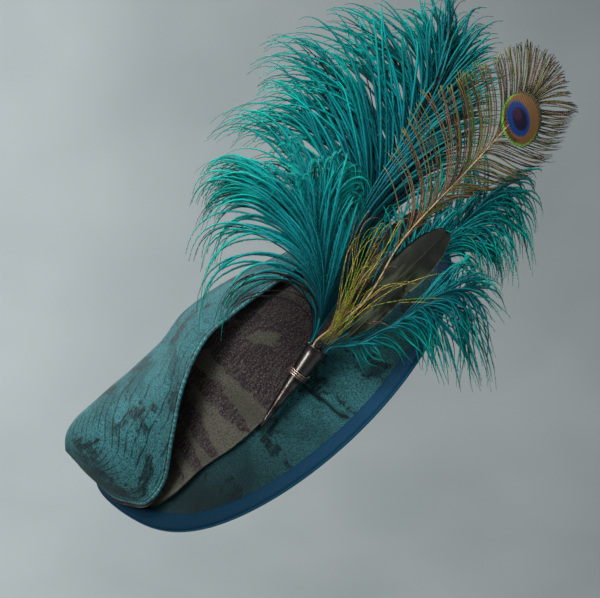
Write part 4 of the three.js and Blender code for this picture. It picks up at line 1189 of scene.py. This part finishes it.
def fringed(lines, core, hair, look, draws, extra=None):
    """Barbs with their barbules. The barb is a flat four-sided strand, core millimetres wide on each side,
    that tapers to its tip. Barbules are three-sided spikes on both sides, each hair long, leaning forward by
    the look's angle, one each spacing. Returns points, triangles and the point layers."""
    count, steps = lines.shape[:2]
    share = np.linspace(0, 1, steps)
    taper = (0.55 + 0.45 * smoothstep(share, 0, 0.25)) * (1 - 0.85 * smoothstep(share, look["slim"], 1.0))
    tone = draws.uniform(0, 1, count)
    roll = draws.uniform(-1, 1, count) * look["roll"]
    sides, corners = 4, 4  # of a barb's section, and of a barbule in all
    core_points, core_faces = swept(lines, core * taper, sides, squash=0.4, roll=roll)
    core_along = tube_layer(np.broadcast_to(share, (count, steps)), sides)

    length = np.linalg.norm(np.diff(lines, axis=1), axis=-1).sum(axis=1).mean()
    per_side = int(length / look["spacing"])
    along, side, face = strand_axes(lines, roll)
    s = look["bare"] + (1 - look["bare"]) * (
        np.arange(per_side)[None, None] + draws.uniform(0, 1, (count, 2, per_side))) / per_side
    place = s * (steps - 1)
    index = np.clip(place.astype(int), 0, steps - 2)
    t = (place - index)[..., None]
    rows = np.arange(count)[:, None, None]

    def read(field):
        """A vector for each barb's steps, read where the barbules stand."""
        return field[rows, index] * (1 - t) + field[rows, index + 1] * t

    root, ahead, out, over = read(lines), read(along), read(side), read(face)
    sign = np.array([-1.0, 1.0])[None, :, None, None]
    profile = smoothstep(s, -0.05, 0.3) * (1 - 0.75 * smoothstep(s, look["slim"], 1.0))
    size = (hair[:, None, None] * profile * draws.uniform(0.65, 1.1, s.shape))[..., None]
    lean = look["angle"] * draws.uniform(0.7, 1.3, s.shape)[..., None]
    lift = draws.uniform(-0.35, 0.35, s.shape)[..., None]
    heading = unit(ahead * np.cos(lean) + sign * out * np.sin(lean) + over * lift)
    tip = root + heading * size
    flat = unit(np.cross(heading, over))
    thick = look["thick"]
    base = np.stack([root + flat * thick / 2 - over * thick / 4, root - flat * thick / 2 - over * thick / 4,
                     root + over * thick / 2], axis=-2)
    spikes = np.concatenate([base, tip[..., None, :]], axis=-2).reshape(-1, corners, 3)
    # A barbule's open base lies in the barb, so its last triangle is left out
    one = turned_out(spikes[0], np.array([[0, 1, 3], [1, 2, 3], [2, 0, 3], [1, 0, 2]]))[:3]
    faces = (one[None] + corners * np.arange(len(spikes))[:, None, None]).reshape(-1, 3) + len(core_points)
    points = np.concatenate([core_points, spikes.reshape(-1, 3)])

    def spread(values):
        """A number for each barb, given to all its points."""
        return np.concatenate([
            np.repeat(values, steps * sides + 2), np.repeat(values, 2 * per_side * corners)])

    layers = {
        "along": np.concatenate([core_along, np.repeat(s.reshape(-1), corners)]),
        "fringe": np.concatenate([np.zeros(len(core_points)), np.tile([0.0, 0, 0, 1], len(spikes))]),
        **{key: spread(values) for key, values in {"tone": tone, **(extra or {})}.items()},
    }
    return points, np.concatenate([core_faces, faces]), layers


def joined(parts):
    """Several (points, triangles, layers) as one."""
    start = np.cumsum([0] + [len(p[0]) for p in parts[:-1]])
    points = np.concatenate([p[0] for p in parts])
    faces = np.concatenate([p[1] + s for p, s in zip(parts, start)])
    layers = {key: np.concatenate([p[2][key] for p in parts]) for key in parts[0][2]}
    return points, faces, layers


def bare_tube(line, radii, tone):
    """A round quill as (points, triangles, layers)."""
    sides = 8
    points, faces = swept(line[None], radii[None], sides)
    along = tube_layer(np.linspace(0, 1, len(line))[None], sides)
    layers = {"along": along, "tone": np.full(len(points), tone), "fringe": np.zeros(len(points))}
    return points, faces, layers


def table_rows(table, places):
    """Rows of a table read between neighbours."""
    index = np.minimum(places.astype(int), len(table) - 2)
    t = (places - index)[:, None]
    return table[index] * (1 - t) + table[index + 1] * t


# The crest's locks: share of the quill that each leaves, its tip and its width. Then how many barbs its
# first, middle and last locks get, and their lean, over and arch
CREST_LOCKS = np.array([
    (0.3, -66, -92, 109, 13), (0.34, -59, -60, 122, 13), (0.4, -49, -82, 142, 13), (0.44, -40, -40, 152, 13),
    (0.49, -34, -74, 165, 13), (0.54, -30, -58, 187, 12), (0.58, -6, -30, 192, 13), (0.63, 8, -58, 205, 13),
    (0.69, 28, -50, 218, 13), (0.76, 55, -40, 222, 13), (0.84, 81, -48, 225, 12), (0.93, 106, -38, 226, 12),
    (0.9, 131, -34, 215, 12), (0.8, 146, -32, 200, 13), (0.72, 155, -40, 182, 13), (0.6, 158, -36, 160, 13),
    (0.5, 152, -46, 133, 13), (0.4, 138, -52, 104, 13),
])
CREST_SPOTS = np.linspace(0, 2, len(CREST_LOCKS))
CREST_WEIGHTS = np.interp(CREST_SPOTS, [0, 1, 2], [1.0, 1.0, 2.0])
CREST_BENDS = table_rows(np.array([(0.6, 0.42, 0.28), (0.55, 0.36, 0.05), (0.66, 0.16, 0.0)]), CREST_SPOTS)

# How barbs are drawn. Barbules: hair is their length, angle their lean, spacing their pitch and thick their
# thickness. Barbs: count of them in each of parts pieces, core their half width, slim the share where they
# start to taper, bare the share at the root without barbules, roll their turn in radians, steps their points,
# rise and wave as barb_lines has them. spread is how far the roots of the first and the last row slip down
# the quill, shake and droop how far tips move, and short how much of its length a barb may lack. Those before
# row singed, and a share burnt of the rest, are burnt bare. deep_end is how much of their brightness the last
# rows lose, as painted shade.
OSTRICH = dict(parts=1, angle=0.4, slim=0.65, bare=0.02, roll=0.6, shake=1.0, rise=0.0, wave=2.4, singed=0.0,
               deep_end=0.0)
# The columns of rows: share of the quill, tip x, y, z, width, weight, lean, over, arch
PLUME_LOOK = {
    "plume_crest": dict(
        count=255, parts=2, core=(0.85, 1.25), hair=(2.0, 3.4), angle=0.3, spacing=2.3, thick=0.6, slim=0.55,
        bare=0.0, spread=(0.32, 0.5), droop=12, short=0.3, steps=18, rise=1.0, wave=1.8, burnt=0.05,
        deep_end=0.8, rows=np.column_stack([CREST_LOCKS, CREST_WEIGHTS, CREST_BENDS])),
    "plume_left": dict(
        count=250, core=(0.6, 0.95), hair=(2.6, 4.6), spacing=1.65, thick=0.58, roll=0.5, spread=(0.3, 0.62),
        shake=0.9, droop=18, short=0.2, steps=18, singed=0.9, burnt=0.03, rows=[
            (0.30, -52, -128, 4, 8, 0.5, 0.8, 0.2, 0.5), (0.42, -72, -128, -14, 6, 0.5, 1.0, 0.0, 0.95),
            (0.50, -78, -126, 24, 8, 0.7, 0.95, 0.05, 0.75), (0.60, -84, -118, 70, 10, 1.5, 0.8, 0.1, 0.42),
            (0.68, -76, -112, 86, 11, 1.8, 0.75, 0.12, 0.3), (0.76, -62, -110, 100, 11, 1.6, 0.75, 0.15, 0.2),
            (0.84, -38, -116, 98, 13, 1.5, 0.8, 0.1, 0.3), (0.92, -10, -120, 104, 13, 1.5, 0.8, 0.1, 0.3),
            (0.98, 14, -124, 104, 13, 1.5, 0.85, 0.1, 0.3), (0.96, 36, -124, 104, 11, 1.5, 0.8, 0.05, 0.35),
            (0.86, 48, -120, 86, 9, 1.2, 0.85, 0.0, 0.45), (0.72, 47, -118, 60, 9, 0.7, 0.9, 0.0, 0.6)]),
    "plume_right_high": dict(
        count=272, core=(0.55, 0.9), hair=(2.4, 4.4), spacing=1.6, thick=0.55, spread=(0.3, 0.4), droop=16,
        short=0.25, steps=16, rise=0.5, burnt=0.02, deep_end=0.5, rows=[
            (0.97, 181, -74, 92, 7, 1.0, 0.5, 0.1, 0.3), (0.90, 180, -82, 62, 8, 1.4, 0.5, 0.0, 0.5),
            (0.84, 173, -88, 40, 8, 1.5, 0.55, 0.0, 0.6), (0.78, 164, -92, 24, 9, 1.5, 0.6, 0.0, 0.65),
            (0.70, 153, -96, 8, 9, 1.4, 0.6, 0.0, 0.7), (0.64, 142, -98, 24, 10, 1.4, 0.6, 0.0, 0.6),
            (0.62, 129, -90, 44, 10, 1.3, 0.6, 0.1, 0.5), (0.90, 142, -70, 112, 11, 1.2, 0.5, 0.3, 0.2),
            (0.72, 118, -76, 100, 11, 1.2, 0.5, 0.3, 0.1), (0.56, 99, -82, 78, 11, 1.2, 0.5, 0.3, 0.05),
            (0.48, 86, -85, 72, 11, 1.6, 0.5, 0.3, 0.05), (0.42, 71, -88, 66, 12, 1.4, 0.5, 0.3, 0.05)]),
    "plume_right_low": dict(
        count=145, core=(0.5, 0.8), hair=(2.4, 4.0), spacing=1.6, thick=0.5, spread=(0.4, 0.3), droop=8,
        short=0.3, steps=16, rise=0.3, burnt=0.01, rows=[
            (1.00, 127, -112, 42, 8, 0.8, 0.5, 0.3, 0.1), (1.00, 145, -108, 20, 9, 1.3, 0.5, 0.2, 0.3),
            (0.97, 152, -104, -16, 9, 1.2, 0.5, 0.2, 0.35), (0.92, 136, -110, -70, 9, 1.2, 0.5, 0.1, 0.45),
            (0.86, 127, -120, -40, 10, 1.1, 0.55, 0.1, 0.45), (0.80, 106, -116, -63, 8, 0.9, 0.55, 0.1, 0.45),
            (0.70, 100, -128, -30, 9, 0.8, 0.6, 0.2, 0.4), (0.50, 74, -124, -37, 8, 0.7, 0.6, 0.3, 0.25),
            (0.36, 44, -124, -51, 6, 0.3, 0.6, 0.3, 0.2)]),
}
CLUMP, LOOSE = 4, 0.32  # barbs in a clump, and the share of its random draws that a barb has for itself


def build_plume(name, material):
    """One ostrich plume. Barbs are drawn between neighbouring rows of its table, as many as the rows' weights
    say, in clumps that share most of their random draws."""
    look = {**OSTRICH, **PLUME_LOOK[name]}
    draws = np.random.default_rng(SEED + 10 + list(PLUMES).index(name))
    table = np.array(look["rows"], float)
    last_row = len(table) - 1
    quill = quill_line(PLUMES[name]["slot"], PLUMES[name]["quill"], QUILL_RADIUS)
    count = look["count"]
    group = np.arange(count) // CLUMP
    # Running sum of the weights, so that even steps of it give each row its share of the barbs
    heaped = np.concatenate([[0], np.cumsum((table[1:, 5] + table[:-1, 5]) / 2)])

    def shared(columns=1):
        """Numbers from 0 to 1, most of each one the clump's own."""
        return (1 - LOOSE) * draws.uniform(0, 1, (group[-1] + 1, columns))[group] \
            + LOOSE * draws.uniform(0, 1, (count, columns))

    for part in range(look["parts"]):
        even_spots = (group * CLUMP + CLUMP / 2 + (np.arange(count) % CLUMP - CLUMP / 2) * 0.5) / count
        place = np.interp(np.clip(even_spots, 0, 1) * heaped[-1], heaped, np.arange(len(table)))
        place = np.clip(place + (shared()[:, 0] - 0.5) * 0.8, 0, last_row)
        row = table_rows(table, place)
        bend = row[:, 6:9] * (0.8 + 0.4 * shared(3))
        slip = np.interp(place, [0, last_row], look["spread"])
        roots = np.clip(row[:, 0] - slip * draws.uniform(0, 1, count), 0.06, 0.99)
        tips = row[:, 1:4] + SHIFT + (shared(3) - 0.5) * 3.2 * row[:, 4:5] * look["shake"]
        tips[:, 2] -= shared()[:, 0] ** 2 * look["droop"]
        start = at_share(quill, roots)
        tips = start + (tips - start) * (1 - look["short"] * shared() ** 2)
        lines = barb_lines(quill, roots, tips, bend, look["steps"], draws, look["wave"], look["rise"])
        bare = (place < look["singed"]) | (draws.uniform(0, 1, count) < look["burnt"])
        core = draws.uniform(*look["core"], (count, 1)) * np.where(bare, 0.5, 1)[:, None]
        hair = draws.uniform(*look["hair"], count) * np.where(bare, 0.5, 1)
        # Painted shade: the last rows, the crest's right side and the high right plume's back, darken towards
        # the root colour.
        dye = 1 - look["deep_end"] * smoothstep(place / last_row, 0.45, 0.75)
        tone = np.where(bare, 0, np.maximum(draws.uniform(0, 1, count) * dye, draws.uniform(0, 0.2, count)))
        parts = [fringed(lines, core, hair, look, draws, {"tone": tone})]
        if part == 0:
            parts.append(bare_tube(quill[::4], np.linspace(QUILL_RADIUS, 0.35, len(quill[::4])), 0.6))
        points, faces, layers = joined(parts)
        piece = make_piece(f"{name}_barbs_{part + 1}", points, faces, [name], layers)
        piece.data.materials.append(material)


def build_plumes(context):
    """The four dyed plumes, of one dye lot."""
    colours = hues(context, "ostrich_root", "ostrich_mid", "ostrich_tip", "burnt")
    material = dyed_feather("Ostrich, dyed teal, some barbs burnt", *colours)
    for name in PLUMES:
        build_plume(name, material)


# Eye of the peacock feather: its centre, and its ovals from the outside in, each with the place of its own
# centre, its half widths, the tilt of its long axis in degrees, its colour and how soft its edge is
EYE_CENTRE = np.array([164.0, -106.0, 135.6])
EYE_RINGS = (
    ((1.5, 1.0), (18.5, 25.5), 8, "eye_olive", 0.12), ((-0.7, -0.6), (13.4, 19.6), 4, "eye_green", 0.04),
    ((0.4, 0.3), (12.9, 19.0), 2, "eye_bronze", 0.06), ((-1.7, 0.6), (8.2, 13.4), 13, "eye_blue", 0.1),
    ((-0.5, 0.4), (5.2, 8.9), 13, "eye_pupil", 0.16), ((-2.6, 4.4), (3.0, 4.6), 10, "eye_lobe", 0.3),
)
# The eye's vane: how far below and left of the centre its barb lines meet, and 2 pi times how many lie in a
# radian there; its half widths, its own middle off the centre, the height of its dome and its thickness
EYE_ROOT, EYE_BARBS = (34, 12), 260.0
EYE_VANE, EYE_OFF, EYE_DOME, EYE_THICK = (14.4, 20.6), (1.2, 0.8), 2.4, 0.5

# Tips of the fan's barbs, each after the share of the quill where it leaves: over the top, then at the right
FAN_LEFT = np.array([
    (0.46, 62, -116, 104), (0.5, 68, -116, 117), (0.53, 74, -114, 127), (0.57, 83, -112, 137),
    (0.62, 90, -110, 157), (0.66, 107, -110, 160), (0.7, 115, -108, 166), (0.74, 121, -108, 169),
    (0.78, 128, -108, 174), (0.83, 138, -106, 178), (0.87, 148, -105, 184), (0.9, 157, -104, 190),
    (0.93, 165, -104, 193), (0.95, 174, -104, 191), (0.97, 181, -104, 187), (0.985, 189, -104, 182),
    (0.99, 193, -104, 173), (0.995, 197, -104, 165), (1.0, 201, -104, 153), (1.0, 207, -104, 143),
])
FAN_RIGHT = np.array([
    (0.45, 96, -122, 62), (0.52, 108, -120, 72), (0.58, 120, -118, 80), (0.66, 138, -114, 84),
    (0.72, 152, -112, 88), (0.78, 165, -110, 92), (0.83, 177, -108, 98), (0.87, 187, -107, 107),
    (0.9, 194, -106, 117), (0.94, 199, -105, 127), (0.97, 202, -104, 136), (1.0, 206, -104, 143),
])
FAN_LOOK = dict(angle=0.6, spacing=1.5, thick=0.45, slim=0.8, bare=0.02, roll=0.25)


def build_peacock(context):
    """Shaft, fan of barbs and eye. Each side of the fan has its table, its count of barbs and their lean,
    over and arch."""
    draws = np.random.default_rng(SEED + 20)
    steps, wave = 16, 0.7
    quill = quill_line(PEACOCK_SLOT, PEACOCK_QUILL, THIN_QUILL_RADIUS)
    parts = []
    for side, table, count, bend in (
        (0, FAN_LEFT, 150, (0.5, 0.1, 0.0)), (1, FAN_RIGHT, 120, (0.32, 0.3, -0.12)),
    ):
        # Barbs crowd towards the eye
        place = (len(table) - 1) * np.linspace(0, 1, count) ** 0.72 + draws.uniform(-0.15, 0.15, count)
        row = table_rows(table, np.clip(place, 0, len(table) - 1))
        tips = row[:, 1:4] + SHIFT + draws.normal(0, 1, (count, 3)) * np.array([1.6, 1.2, 1.8])
        near_eye = smoothstep(row[:, 0], 0.72, 0.9)
        bends = np.tile(bend, (count, 1)) * draws.uniform(0.8, 1.2, (count, 3))
        lines = barb_lines(quill, np.clip(row[:, 0], 0, 0.995), tips, bends, steps, draws, wave)
        core = (0.44 - 0.16 * near_eye)[:, None]
        dark_side = np.maximum(side, smoothstep(row[:, 0], 0.86, 0.92))
        parts.append(fringed(lines, core, 1.0 + 0.3 * near_eye, FAN_LOOK, draws, {"side": dark_side}))
    points, faces, layers = joined(parts)
    fan = make_piece("peacock_fan", points, faces, ["peacock_feather"], layers)
    fan.data.materials.append(peacock_vane("Peacock barbs, bronze", False))

    points, faces, layers = bare_tube(quill[::4], np.linspace(0.85, 0.35, len(quill[::4])), 0.5)
    shaft = make_piece("peacock_shaft", points, faces, ["peacock_feather"], layers)
    shaft.data.materials.append(bare_shaft("Feather shaft, tan", *hues(context, "shaft", "bronze")))
    build_eye()


def build_eye():
    """Eye of the peacock feather: an oval vane, domed by one minus its share squared, with a ragged edge. Its
    back is the same grid a little behind."""
    rings, sides = 16, 96
    share = np.linspace(0, 1, rings)[:, None]
    turn = (np.arange(sides) * 2 * np.pi / sides)[None]
    ragged = 1 + 0.07 * np.sin(turn * 47 + 3 * np.sin(turn * 5)) * share ** 3
    x = EYE_VANE[0] * share * np.cos(turn) * ragged + EYE_OFF[0]
    z = EYE_VANE[1] * share * np.sin(turn) * ragged + EYE_OFF[1]
    dome = EYE_DOME * (1 - share ** 2) + 0 * turn
    middle = EYE_CENTRE + SHIFT + np.stack([x, -0.12 * x - 1.2 - dome, z + 0.1 * dome], axis=-1)
    points = np.concatenate([middle.reshape(-1, 3), (middle + np.array([0, EYE_THICK, 0])).reshape(-1, 3)])
    border = (rings - 1) * sides + np.arange(sides)
    size = rings * sides
    rim = np.stack([border, np.roll(border, -1), np.roll(border, -1) + size, border + size], axis=-1)
    faces = np.concatenate([sheet_faces(rings, sides, ring=True),
                            sheet_faces(rings, sides, ring=True, start=size)[:, ::-1], rim[:, ::-1]])
    values = {"along": 0.5, "tone": 0.3, "side": 0.0}
    layers = {key: np.full(len(points), value) for key, value in values.items()}
    eye = make_piece("peacock_eye", points, turned_out(points, faces), ["peacock_feather"], layers)
    weld_poles(eye)
    eye.data.materials.append(peacock_vane("Peacock vane, eye", True))


# Places about which the herl's tips end
HERL_TIPS = np.array([
    (53, -134, 78), (65, -134, 82), (76, -134, 84), (85, -134, 78), (88, -134, 60), (76, -136, 54),
    (65, -136, 42), (84, -136, 39), (70, -135, 66), (91, -136, 24), (106, -134, 29), (60, -136, 60),
    (123, -132, 13), (77, -136, -5), (80, -135, 70),
])
HERL_LOOK = dict(angle=0.9, spacing=0.9, thick=0.3, slim=0.85, bare=0.0, roll=1.2)


def build_herls(context):
    """Strands of peacock herl that leave the cone side by side. Short dense barbules make each one look
    beaded."""
    draws = np.random.default_rng(SEED + 30)
    count, steps, wave = context.scene.hat_sizes.herl_strands, 24, 3.2
    quill = quill_line(HERL_SLOT, HERL_QUILL, THIN_QUILL_RADIUS)
    pick = np.arange(count) % len(HERL_TIPS)
    tips = HERL_TIPS[pick] + SHIFT + draws.normal(0, 1, (count, 3)) * np.array([4.5, 1.2, 4.5])
    roots = draws.uniform(0.3, 0.42, count)
    start = at_share(quill, roots)
    tips = start + (tips - start) * draws.uniform(0.6, 1.0, (count, 1))
    bends = np.array([0.32, 0.3, 0.06]) * draws.uniform(0.5, 1.5, (count, 3))
    lines = barb_lines(quill, roots, tips, bends, steps, draws, wave)
    _, _, right, front = cone_frame()
    aside = draws.uniform(-4.0, 5.0, count)[:, None] * right \
        + draws.uniform(-1.5, 2.5, count)[:, None] * front
    lines = lines + aside[:, None] * (1 - np.linspace(0, 1, steps)[None, :, None] ** 1.5)
    core, hair = np.full((count, 1), 0.24), draws.uniform(0.5, 0.8, count)
    points, faces, layers = fringed(lines, core, hair, HERL_LOOK, draws)
    piece = make_piece("herl_strands", points, faces, ["herl_bunch"], layers)
    piece.data.materials.append(herl_strand("Herl, gold green"))


def build_coques(context):
    """Broad feathers: a vane whose half width follows a sine of the share to the power 1.25, to the power
    0.5, cupped across by a parabola, with fine notches in its edge, and a tapering shaft on top."""
    steps, columns, shaft_sides, thickness, cup_depth = 74, 15, 8, 0.4, 1.8
    material = satin_vane("Coque vane, olive black", *hues(context, "coque", "coque_light", "coque_edge"))
    for name, feather in COQUES.items():
        draws = np.random.default_rng(SEED + 40 + feather["slot"])
        quill = quill_line(feather["slot"], feather["line"], COQUE_QUILL_RADIUS)
        blade = even(spline(np.asarray(feather["line"], float) + SHIFT, 300), steps)
        share = np.linspace(0, 1, steps)
        half = feather["wide"] / 2 * np.sin(np.pi * np.minimum(0.02 + 0.97 * share ** 1.25, 1)) ** 0.5
        along, side, face = strand_axes(blade[None], np.zeros(1))
        along, side, face = along[0][:, None], side[0][:, None], face[0][:, None]
        across = np.linspace(-1, 1, columns)
        notch = 1 - 0.1 * (draws.uniform(0, 1, steps) > 0.92)[:, None] * np.abs(across) ** 8
        reach = half[:, None] * across * notch
        cup = cup_depth * (across ** 2)[None] * (half / half.max())[:, None]
        ripple = 0.35 * np.sin(share * 40 + feather["slot"])[:, None] * across ** 2
        middle = blade[:, None] + reach[..., None] * side + (np.abs(reach) * 0.3)[..., None] * along \
            - (cup + ripple)[..., None] * face
        points, faces = walled(middle + thickness / 2 * face, middle - thickness / 2 * face)
        flat = np.stack(np.broadcast_arrays(share[:, None] * 100, reach), axis=-1).reshape(-1, 2)
        layer = {"along": np.tile(np.repeat(share, columns), 2)}
        vane = make_piece(name + "_vane", points, faces, [name], layer, np.concatenate([flat] * 2))
        vane.data.materials.append(material)
        line = quill[None, ::4]
        points, faces = swept(line, np.linspace(COQUE_QUILL_RADIUS, 0.2, line.shape[1])[None], shaft_sides)
        layer = {"along": tube_layer(np.linspace(0, 0.6, line.shape[1])[None], shaft_sides)}
        shaft = make_piece(name + "_shaft", points, faces, [name], layer, np.zeros((len(points), 2)))
        shaft.data.materials.append(material)


# Stage

def look_along(direction):
    """Rotation that turns a light's minus z to a direction."""
    return mathutils.Vector(direction).to_track_quat("-Z", "Y").to_euler()


# Metres: the floor's level, the backdrop's distance behind the hat and its top, the bend between them, half
# its width, and where its profile starts and levels out in front
FLOOR_LEVEL, BACKDROP_AT, BACKDROP_TOP, BEND_RADIUS = -1.05, 3.4, 5.5, 1.2
FLOOR_HALF_WIDTH, FLOOR_FROM = 8.0, (-6.0, -2.0)

# Metres and watts: each light's place, its size, its power and what it is aimed at
HAT_MIDDLE = (0.01, -0.02, 0.0)
LIGHTS = (
    ("key", (-0.5, -0.95, 2.05), (1.2, 1.2), 47.0, HAT_MIDDLE),
    ("strip", (-1.5, -1.28, 0.84), (0.8, 1.0), 26.0, HAT_MIDDLE),
    ("fill", (1.2, -1.7, 0.7), (1.2, 1.2), 9.0, HAT_MIDDLE),
    ("back", (-0.9, 1.2, 1.6), (1.0, 1.0), 18.0, HAT_MIDDLE),
    ("backdrop", (-2.2, 2.0, 1.3), (0.8, 0.8), 185.0, (-1.2, 3.4, 0.2)),
)
ROOM_LIGHT = 0.18

# The camera stands 1.8 m off, 10 degrees up, with a 135 mm lens. It looks at a place this many millimetres
# aside and up from the origin of the tables of feathers, which SHIFT moves
CAMERA_RISE, CAMERA_DISTANCE, CAMERA_ASIDE, CAMERA_UP = np.radians(10), 1800.0, 0.3, -18.4
LENS, SENSOR_WIDTH, FAR_CLIP = 135, 36, 60


def build_stage(context):
    """Plain pale floor well below the hat that curves up into a backdrop: level, then a quarter circle, then
    upright, carried along x. Soft key and strip from the left, a low fill, a back light, one on the backdrop,
    and the camera."""
    scene = context.scene
    turn = np.linspace(0, np.pi / 2, 25)
    arc = np.stack([BACKDROP_AT - BEND_RADIUS + BEND_RADIUS * np.sin(turn),
                    FLOOR_LEVEL + BEND_RADIUS - BEND_RADIUS * np.cos(turn)], axis=-1)
    profile = np.concatenate([[(y, FLOOR_LEVEL) for y in FLOOR_FROM], arc, [(BACKDROP_AT, BACKDROP_TOP)]])
    ends = np.array([-FLOOR_HALF_WIDTH, FLOOR_HALF_WIDTH])
    points = np.stack(np.broadcast_arrays(ends[None], profile[:, :1], profile[:, 1:]), axis=-1).reshape(-1, 3)
    mesh = bpy.data.meshes.new("floor")
    mesh.from_pydata(points.tolist(), [], sheet_faces(len(profile), 2)[:, ::-1].tolist())
    mesh.shade_smooth()
    floor = bpy.data.objects.new("floor", mesh)
    scene.collection.objects.link(floor)
    floor.data.materials.append(paper_floor("Matt paper floor", linear(HEX["floor"])))

    world = bpy.data.worlds.new("Soft room")
    world.use_nodes = True
    background = world.node_tree.nodes["Background"]
    background.inputs["Color"].default_value = linear(HEX["room"])
    background.inputs["Strength"].default_value = ROOM_LIGHT
    scene.world = world
    for name, place, size, energy, aim in LIGHTS:
        data = bpy.data.lights.new(name, "AREA")
        data.shape, data.size, data.size_y, data.energy = "RECTANGLE", *size, energy
        light = bpy.data.objects.new(name, data)
        scene.collection.objects.link(light)
        light.location = place
        light.rotation_euler = look_along(np.array(aim) - np.array(place))

    up = np.array([0, np.sin(CAMERA_RISE), np.cos(CAMERA_RISE)])
    toward = np.array([0, -np.cos(CAMERA_RISE), np.sin(CAMERA_RISE)])
    target = np.array([CAMERA_ASIDE, 0, 0]) + CAMERA_UP * up + SHIFT
    data = bpy.data.cameras.new("camera")
    data.lens, data.sensor_width = LENS, SENSOR_WIDTH
    data.clip_end = FAR_CLIP
    camera = bpy.data.objects.new("camera", data)
    scene.collection.objects.link(camera)
    camera.location = (target + CAMERA_DISTANCE * toward) * MM
    camera.rotation_euler = (np.pi / 2 - CAMERA_RISE, 0, 0)
    scene.camera = camera
    scene.view_settings.view_transform = "Standard"
    scene.view_settings.look = "None"


# Add-on

class HAT_OT_base(bpy.types.Operator):
    """Saucer base with its brocade."""

    bl_idname = "hat.base"
    bl_label = "Saucer base"

    def execute(self, context):
        build_base(context)
        return {"FINISHED"}


class HAT_OT_binding(bpy.types.Operator):
    """Ribbon folded over the brim's edge."""

    bl_idname = "hat.binding"
    bl_label = "Edge ribbon"

    def execute(self, context):
        build_binding(context)
        return {"FINISHED"}


class HAT_OT_leaf(bpy.types.Operator):
    """Folded leaf: shell, lining and lip cord."""

    bl_idname = "hat.leaf"
    bl_label = "Folded leaf"

    def execute(self, context):
        build_leaf(context)
        return {"FINISHED"}


class HAT_OT_cone(bpy.types.Operator):
    """Metal cone and its wire collar."""

    bl_idname = "hat.cone"
    bl_label = "Cone and collar"

    def execute(self, context):
        build_cone(context)
        return {"FINISHED"}


class HAT_OT_plumes(bpy.types.Operator):
    """The four ostrich plumes."""

    bl_idname = "hat.plumes"
    bl_label = "Ostrich plumes"

    def execute(self, context):
        build_plumes(context)
        return {"FINISHED"}


class HAT_OT_peacock(bpy.types.Operator):
    """Peacock feather with its eye."""

    bl_idname = "hat.peacock"
    bl_label = "Peacock feather"

    def execute(self, context):
        build_peacock(context)
        return {"FINISHED"}


class HAT_OT_herls(bpy.types.Operator):
    """Bunch of gold-green herl."""

    bl_idname = "hat.herls"
    bl_label = "Herl bunch"

    def execute(self, context):
        build_herls(context)
        return {"FINISHED"}


class HAT_OT_coques(bpy.types.Operator):
    """Three broad dark feathers."""

    bl_idname = "hat.coques"
    bl_label = "Broad feathers"

    def execute(self, context):
        build_coques(context)
        return {"FINISHED"}


class HAT_OT_stage(bpy.types.Operator):
    """Floor, lights and camera."""

    bl_idname = "hat.stage"
    bl_label = "Stage"

    def execute(self, context):
        build_stage(context)
        return {"FINISHED"}


OPERATORS = (HAT_OT_stage, HAT_OT_base, HAT_OT_binding, HAT_OT_leaf, HAT_OT_cone, HAT_OT_plumes,
             HAT_OT_peacock, HAT_OT_herls, HAT_OT_coques)


class HAT_PT_sidebar(bpy.types.Panel):
    """Buttons for each piece, and the sizes and colours."""

    bl_idname = "HAT_PT_sidebar"
    bl_label = "Hat"
    bl_space_type = "VIEW_3D"
    bl_region_type = "UI"
    bl_category = "Hat"

    def draw(self, context):
        for settings in (context.scene.hat_sizes, context.scene.hat_colours):
            for key in settings.bl_rna.properties.keys():
                if key not in ("rna_type", "name"):
                    self.layout.prop(settings, key)
        for operator in OPERATORS:
            self.layout.operator(operator.bl_idname)


CLASSES = (HatSizes, HatColours, *OPERATORS, HAT_PT_sidebar)


def register():
    """Makes the classes known and puts the settings on the scene."""
    for made in CLASSES:
        bpy.utils.register_class(made)
    bpy.types.Scene.hat_sizes = bpy.props.PointerProperty(type=HatSizes)
    bpy.types.Scene.hat_colours = bpy.props.PointerProperty(type=HatColours)


def unregister():
    """Takes back what register does."""
    del bpy.types.Scene.hat_colours
    del bpy.types.Scene.hat_sizes
    for made in reversed(CLASSES):
        bpy.utils.unregister_class(made)


def main():
    """Builds the stage and each piece in order."""
    register()
    for operator in OPERATORS:
        group, name = operator.bl_idname.split(".")
        getattr(getattr(bpy.ops, group), name)()


if __name__ == "__main__":
    main()
